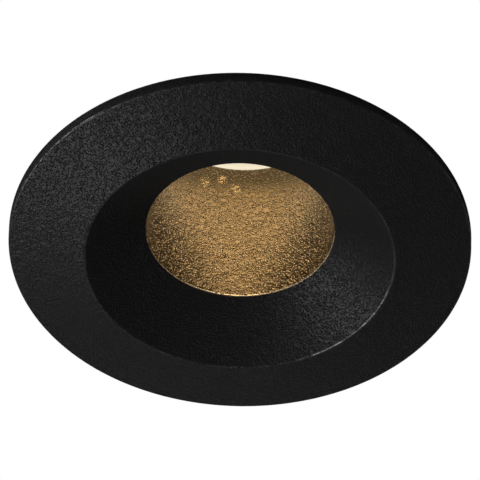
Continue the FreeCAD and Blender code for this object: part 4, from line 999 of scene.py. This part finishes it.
def stage_ring(name, inner, outer, level, material, upward=False, for_camera=False):
    """A flat ring that faces up or down; for_camera leaves it out of all light but the camera's view."""
    angle = full_circle(96)
    rim = np.concatenate([np.cos(angle), np.sin(angle), 0 * angle], 1)
    points = np.concatenate([rim * inner, rim * outer]) + (0, 0, level)
    faces = grid_faces(2, len(rim), False, True)
    mesh = bpy.data.meshes.new(name)
    mesh.from_pydata(points.tolist(), [], (faces[:, ::-1] if upward else faces).tolist())
    mesh.materials.append(material)
    stage = add_object(name, mesh)
    if for_camera:
        stage.visible_diffuse = stage.visible_glossy = stage.visible_transmission = False
        stage.visible_shadow = False


BOARD_LEVEL, BOARD_REACH, HOLE_RADIUS = 0.5 * MM, 3.0, COLLAR_RADIUS + 1.0 * MM
FLOOR_LEVEL, FLOOR_REACH = -2.5, 6.0
board = stage_material("ceiling_white", (0.42, 0.42, 0.42))
stage_ring("ceiling_board", trim_radius, BOARD_REACH, BOARD_LEVEL, board)
stage_ring("ceiling_edge", HOLE_RADIUS, trim_radius, BOARD_LEVEL, board, for_camera=True)
floor_white = stage_material("floor_pale", (0.5, 0.5, 0.5))
stage_ring("floor", 0.0, FLOOR_REACH, FLOOR_LEVEL, floor_white, upward=True)

# The world's light comes from overhead and dies away round the horizon, and is stronger in what
# the surfaces mirror. The camera sees it plain white, also through clear surfaces.

HORIZON = (-0.05, 0.25)
world = bpy.data.worlds.new("studio")
bpy.context.scene.world = world
world.use_nodes = True
tree = world.node_tree
background = tree.nodes["Background"]
path = add_node(tree, "LightPath")
ways = add_node(tree, "SeparateXYZ", Vector=add_node(tree, "TexCoord").outputs["Generated"])
overhead = remap(tree, ways.outputs["Z"], *HORIZON, 0.03, 0.6)
mirrored = remap(tree, ways.outputs["Z"], *HORIZON, 0.03, 1.0)
unseen = add_node(tree, "Mix", {"data_type": "FLOAT"}, i0=path.outputs["Is Glossy Ray"], i2=overhead,
                  i3=mirrored)
direct = add_node(tree, "Math", {"operation": "MAXIMUM"}, i0=path.outputs["Is Camera Ray"],
                  i1=path.outputs["Is Transmission Ray"])
strength = add_node(tree, "Mix", {"data_type": "FLOAT"}, i0=direct.outputs[0], i2=unseen.outputs[0], i3=1.0)
tree.links.new(strength.outputs[0], background.inputs["Strength"])
background.inputs["Color"].default_value = (1, 1, 1, 1)


def new_lamp(name, kind, power, colour=(1, 1, 1)):
    """A lamp, and the data that hold its light."""
    data = bpy.data.lights.new(name, kind)
    data.energy = power
    data.color = colour
    return add_object(name, data), data


def aim_lamp(lamp, way, axis):
    """Turn a lamp so that one of its own axes points a way."""
    lamp.rotation_mode = "QUATERNION"
    lamp.rotation_quaternion = way.to_track_quat(axis, "Y")


def area_lamp(name, toward, distance, size, power):
    """A square lamp at a distance from the bezel's middle, in a direction, facing it."""
    lamp, data = new_lamp(name, "AREA", power)
    data.size = size
    way = Vector(toward).normalized()
    lamp.location = way * distance
    aim_lamp(lamp, way, "Z")
    lamp.visible_camera = False
    return lamp


area_lamp("key", (-0.5, 0.3, -0.8), 0.8, 0.45, 3.6)
area_lamp("side", (-0.77, 0.08, -0.63), 1.0, 0.15, 1.1)
area_lamp("top", (-0.5, -0.6, 0.9), 1.2, 0.8, 12.0)
area_lamp("glint", (-0.93, -0.33, -0.09), 1.0, 0.22, 2.8).visible_diffuse = False

# The light's own glow comes down the tube, from an oval just under the glass and only in a cone,
# so that it leaves the bezel dark.

LIT_WARM = (1.0, 0.80, 0.52)
GLOW_WIDTH, GLOW_DEPTH, GLOW_SHIFT = 20 * MM, 31 * MM, -1.5 * MM
lamp_level = glass_low.z - 0.6 * MM
glow_lamp, data = new_lamp("lamp_glow", "AREA", 0.0055, LIT_WARM)
data.shape = "ELLIPSE"
data.size, data.size_y = GLOW_WIDTH, GLOW_DEPTH
data.spread = math.radians(110)
glow_lamp.location = (0, GLOW_SHIFT, lamp_level)
glow_lamp.visible_camera = glow_lamp.visible_transmission = False

# Three facets of the lens throw small bright flecks on the far wall, each at a place across the
# tube and at a height. Each beam comes in along the mirror image of a look from 45 degrees below.

FLECKS = ((-7.2 * MM, 31.4 * MM), (-3.8 * MM, 33.2 * MM), (-1.0 * MM, 31.3 * MM))
look = Vector((0, -1, -1)).normalized()
for number, (across_tube, level) in enumerate(FLECKS, 1):
    fleck_lamp, data = new_lamp(f"fleck_{number}", "SPOT", 0.0008, LIT_WARM)
    data.spot_size = math.radians(12)
    data.spot_blend = 1.0
    data.shadow_soft_size = 0.8 * MM
    spot = Vector((across_tube, math.sqrt(TUBE_RADIUS ** 2 - across_tube ** 2), level))
    inward = Vector((-spot.x, -spot.y, 0)).normalized()
    beam = look - 2 * look.dot(inward) * inward
    fleck_lamp.location = spot + beam * ((lamp_level - spot.z) / beam.z)
    aim_lamp(fleck_lamp, beam, "-Z")

# The camera, as in the photograph: below the ceiling, looking up at the bezel through a long lens.
# SCALE is in pixels to the metre there, and the bezel's middle falls on CENTRE_PIXEL.

IMAGE_SIZE, CAMERA_DISTANCE = 480, 2.0
CAMERA_ELEVATION, CAMERA_ROLL = math.radians(44.66), math.radians(1.485)
SCALE = 231.3 / trim_radius
CENTRE_PIXEL = (240.05, 237.7)
camera_data = bpy.data.cameras.new("camera")
camera_data.sensor_width = 36.0
camera_data.lens = SCALE * CAMERA_DISTANCE / IMAGE_SIZE * camera_data.sensor_width
camera_data.clip_start, camera_data.clip_end = 0.1, 20.0
camera = add_object("camera", camera_data)
forward = Vector((0, math.cos(CAMERA_ELEVATION), math.sin(CAMERA_ELEVATION)))
level_up = Vector((0, -math.sin(CAMERA_ELEVATION), math.cos(CAMERA_ELEVATION)))
across = Vector((math.cos(CAMERA_ROLL), 0, 0)) + level_up * math.sin(CAMERA_ROLL)
up = Vector((-math.sin(CAMERA_ROLL), 0, 0)) + level_up * math.cos(CAMERA_ROLL)
aside, above = (IMAGE_SIZE / 2 - CENTRE_PIXEL[0]) / SCALE, (CENTRE_PIXEL[1] - IMAGE_SIZE / 2) / SCALE
aim = Vector((0, 0, BEZEL_BACK)) + (across * aside + up * above)
turn = Matrix((across, up, -forward)).transposed().to_4x4()
camera.matrix_world = Matrix.Translation(aim - forward * CAMERA_DISTANCE) @ turn
bpy.context.scene.camera = camera

bpy.context.scene.view_settings.view_transform = "Standard"
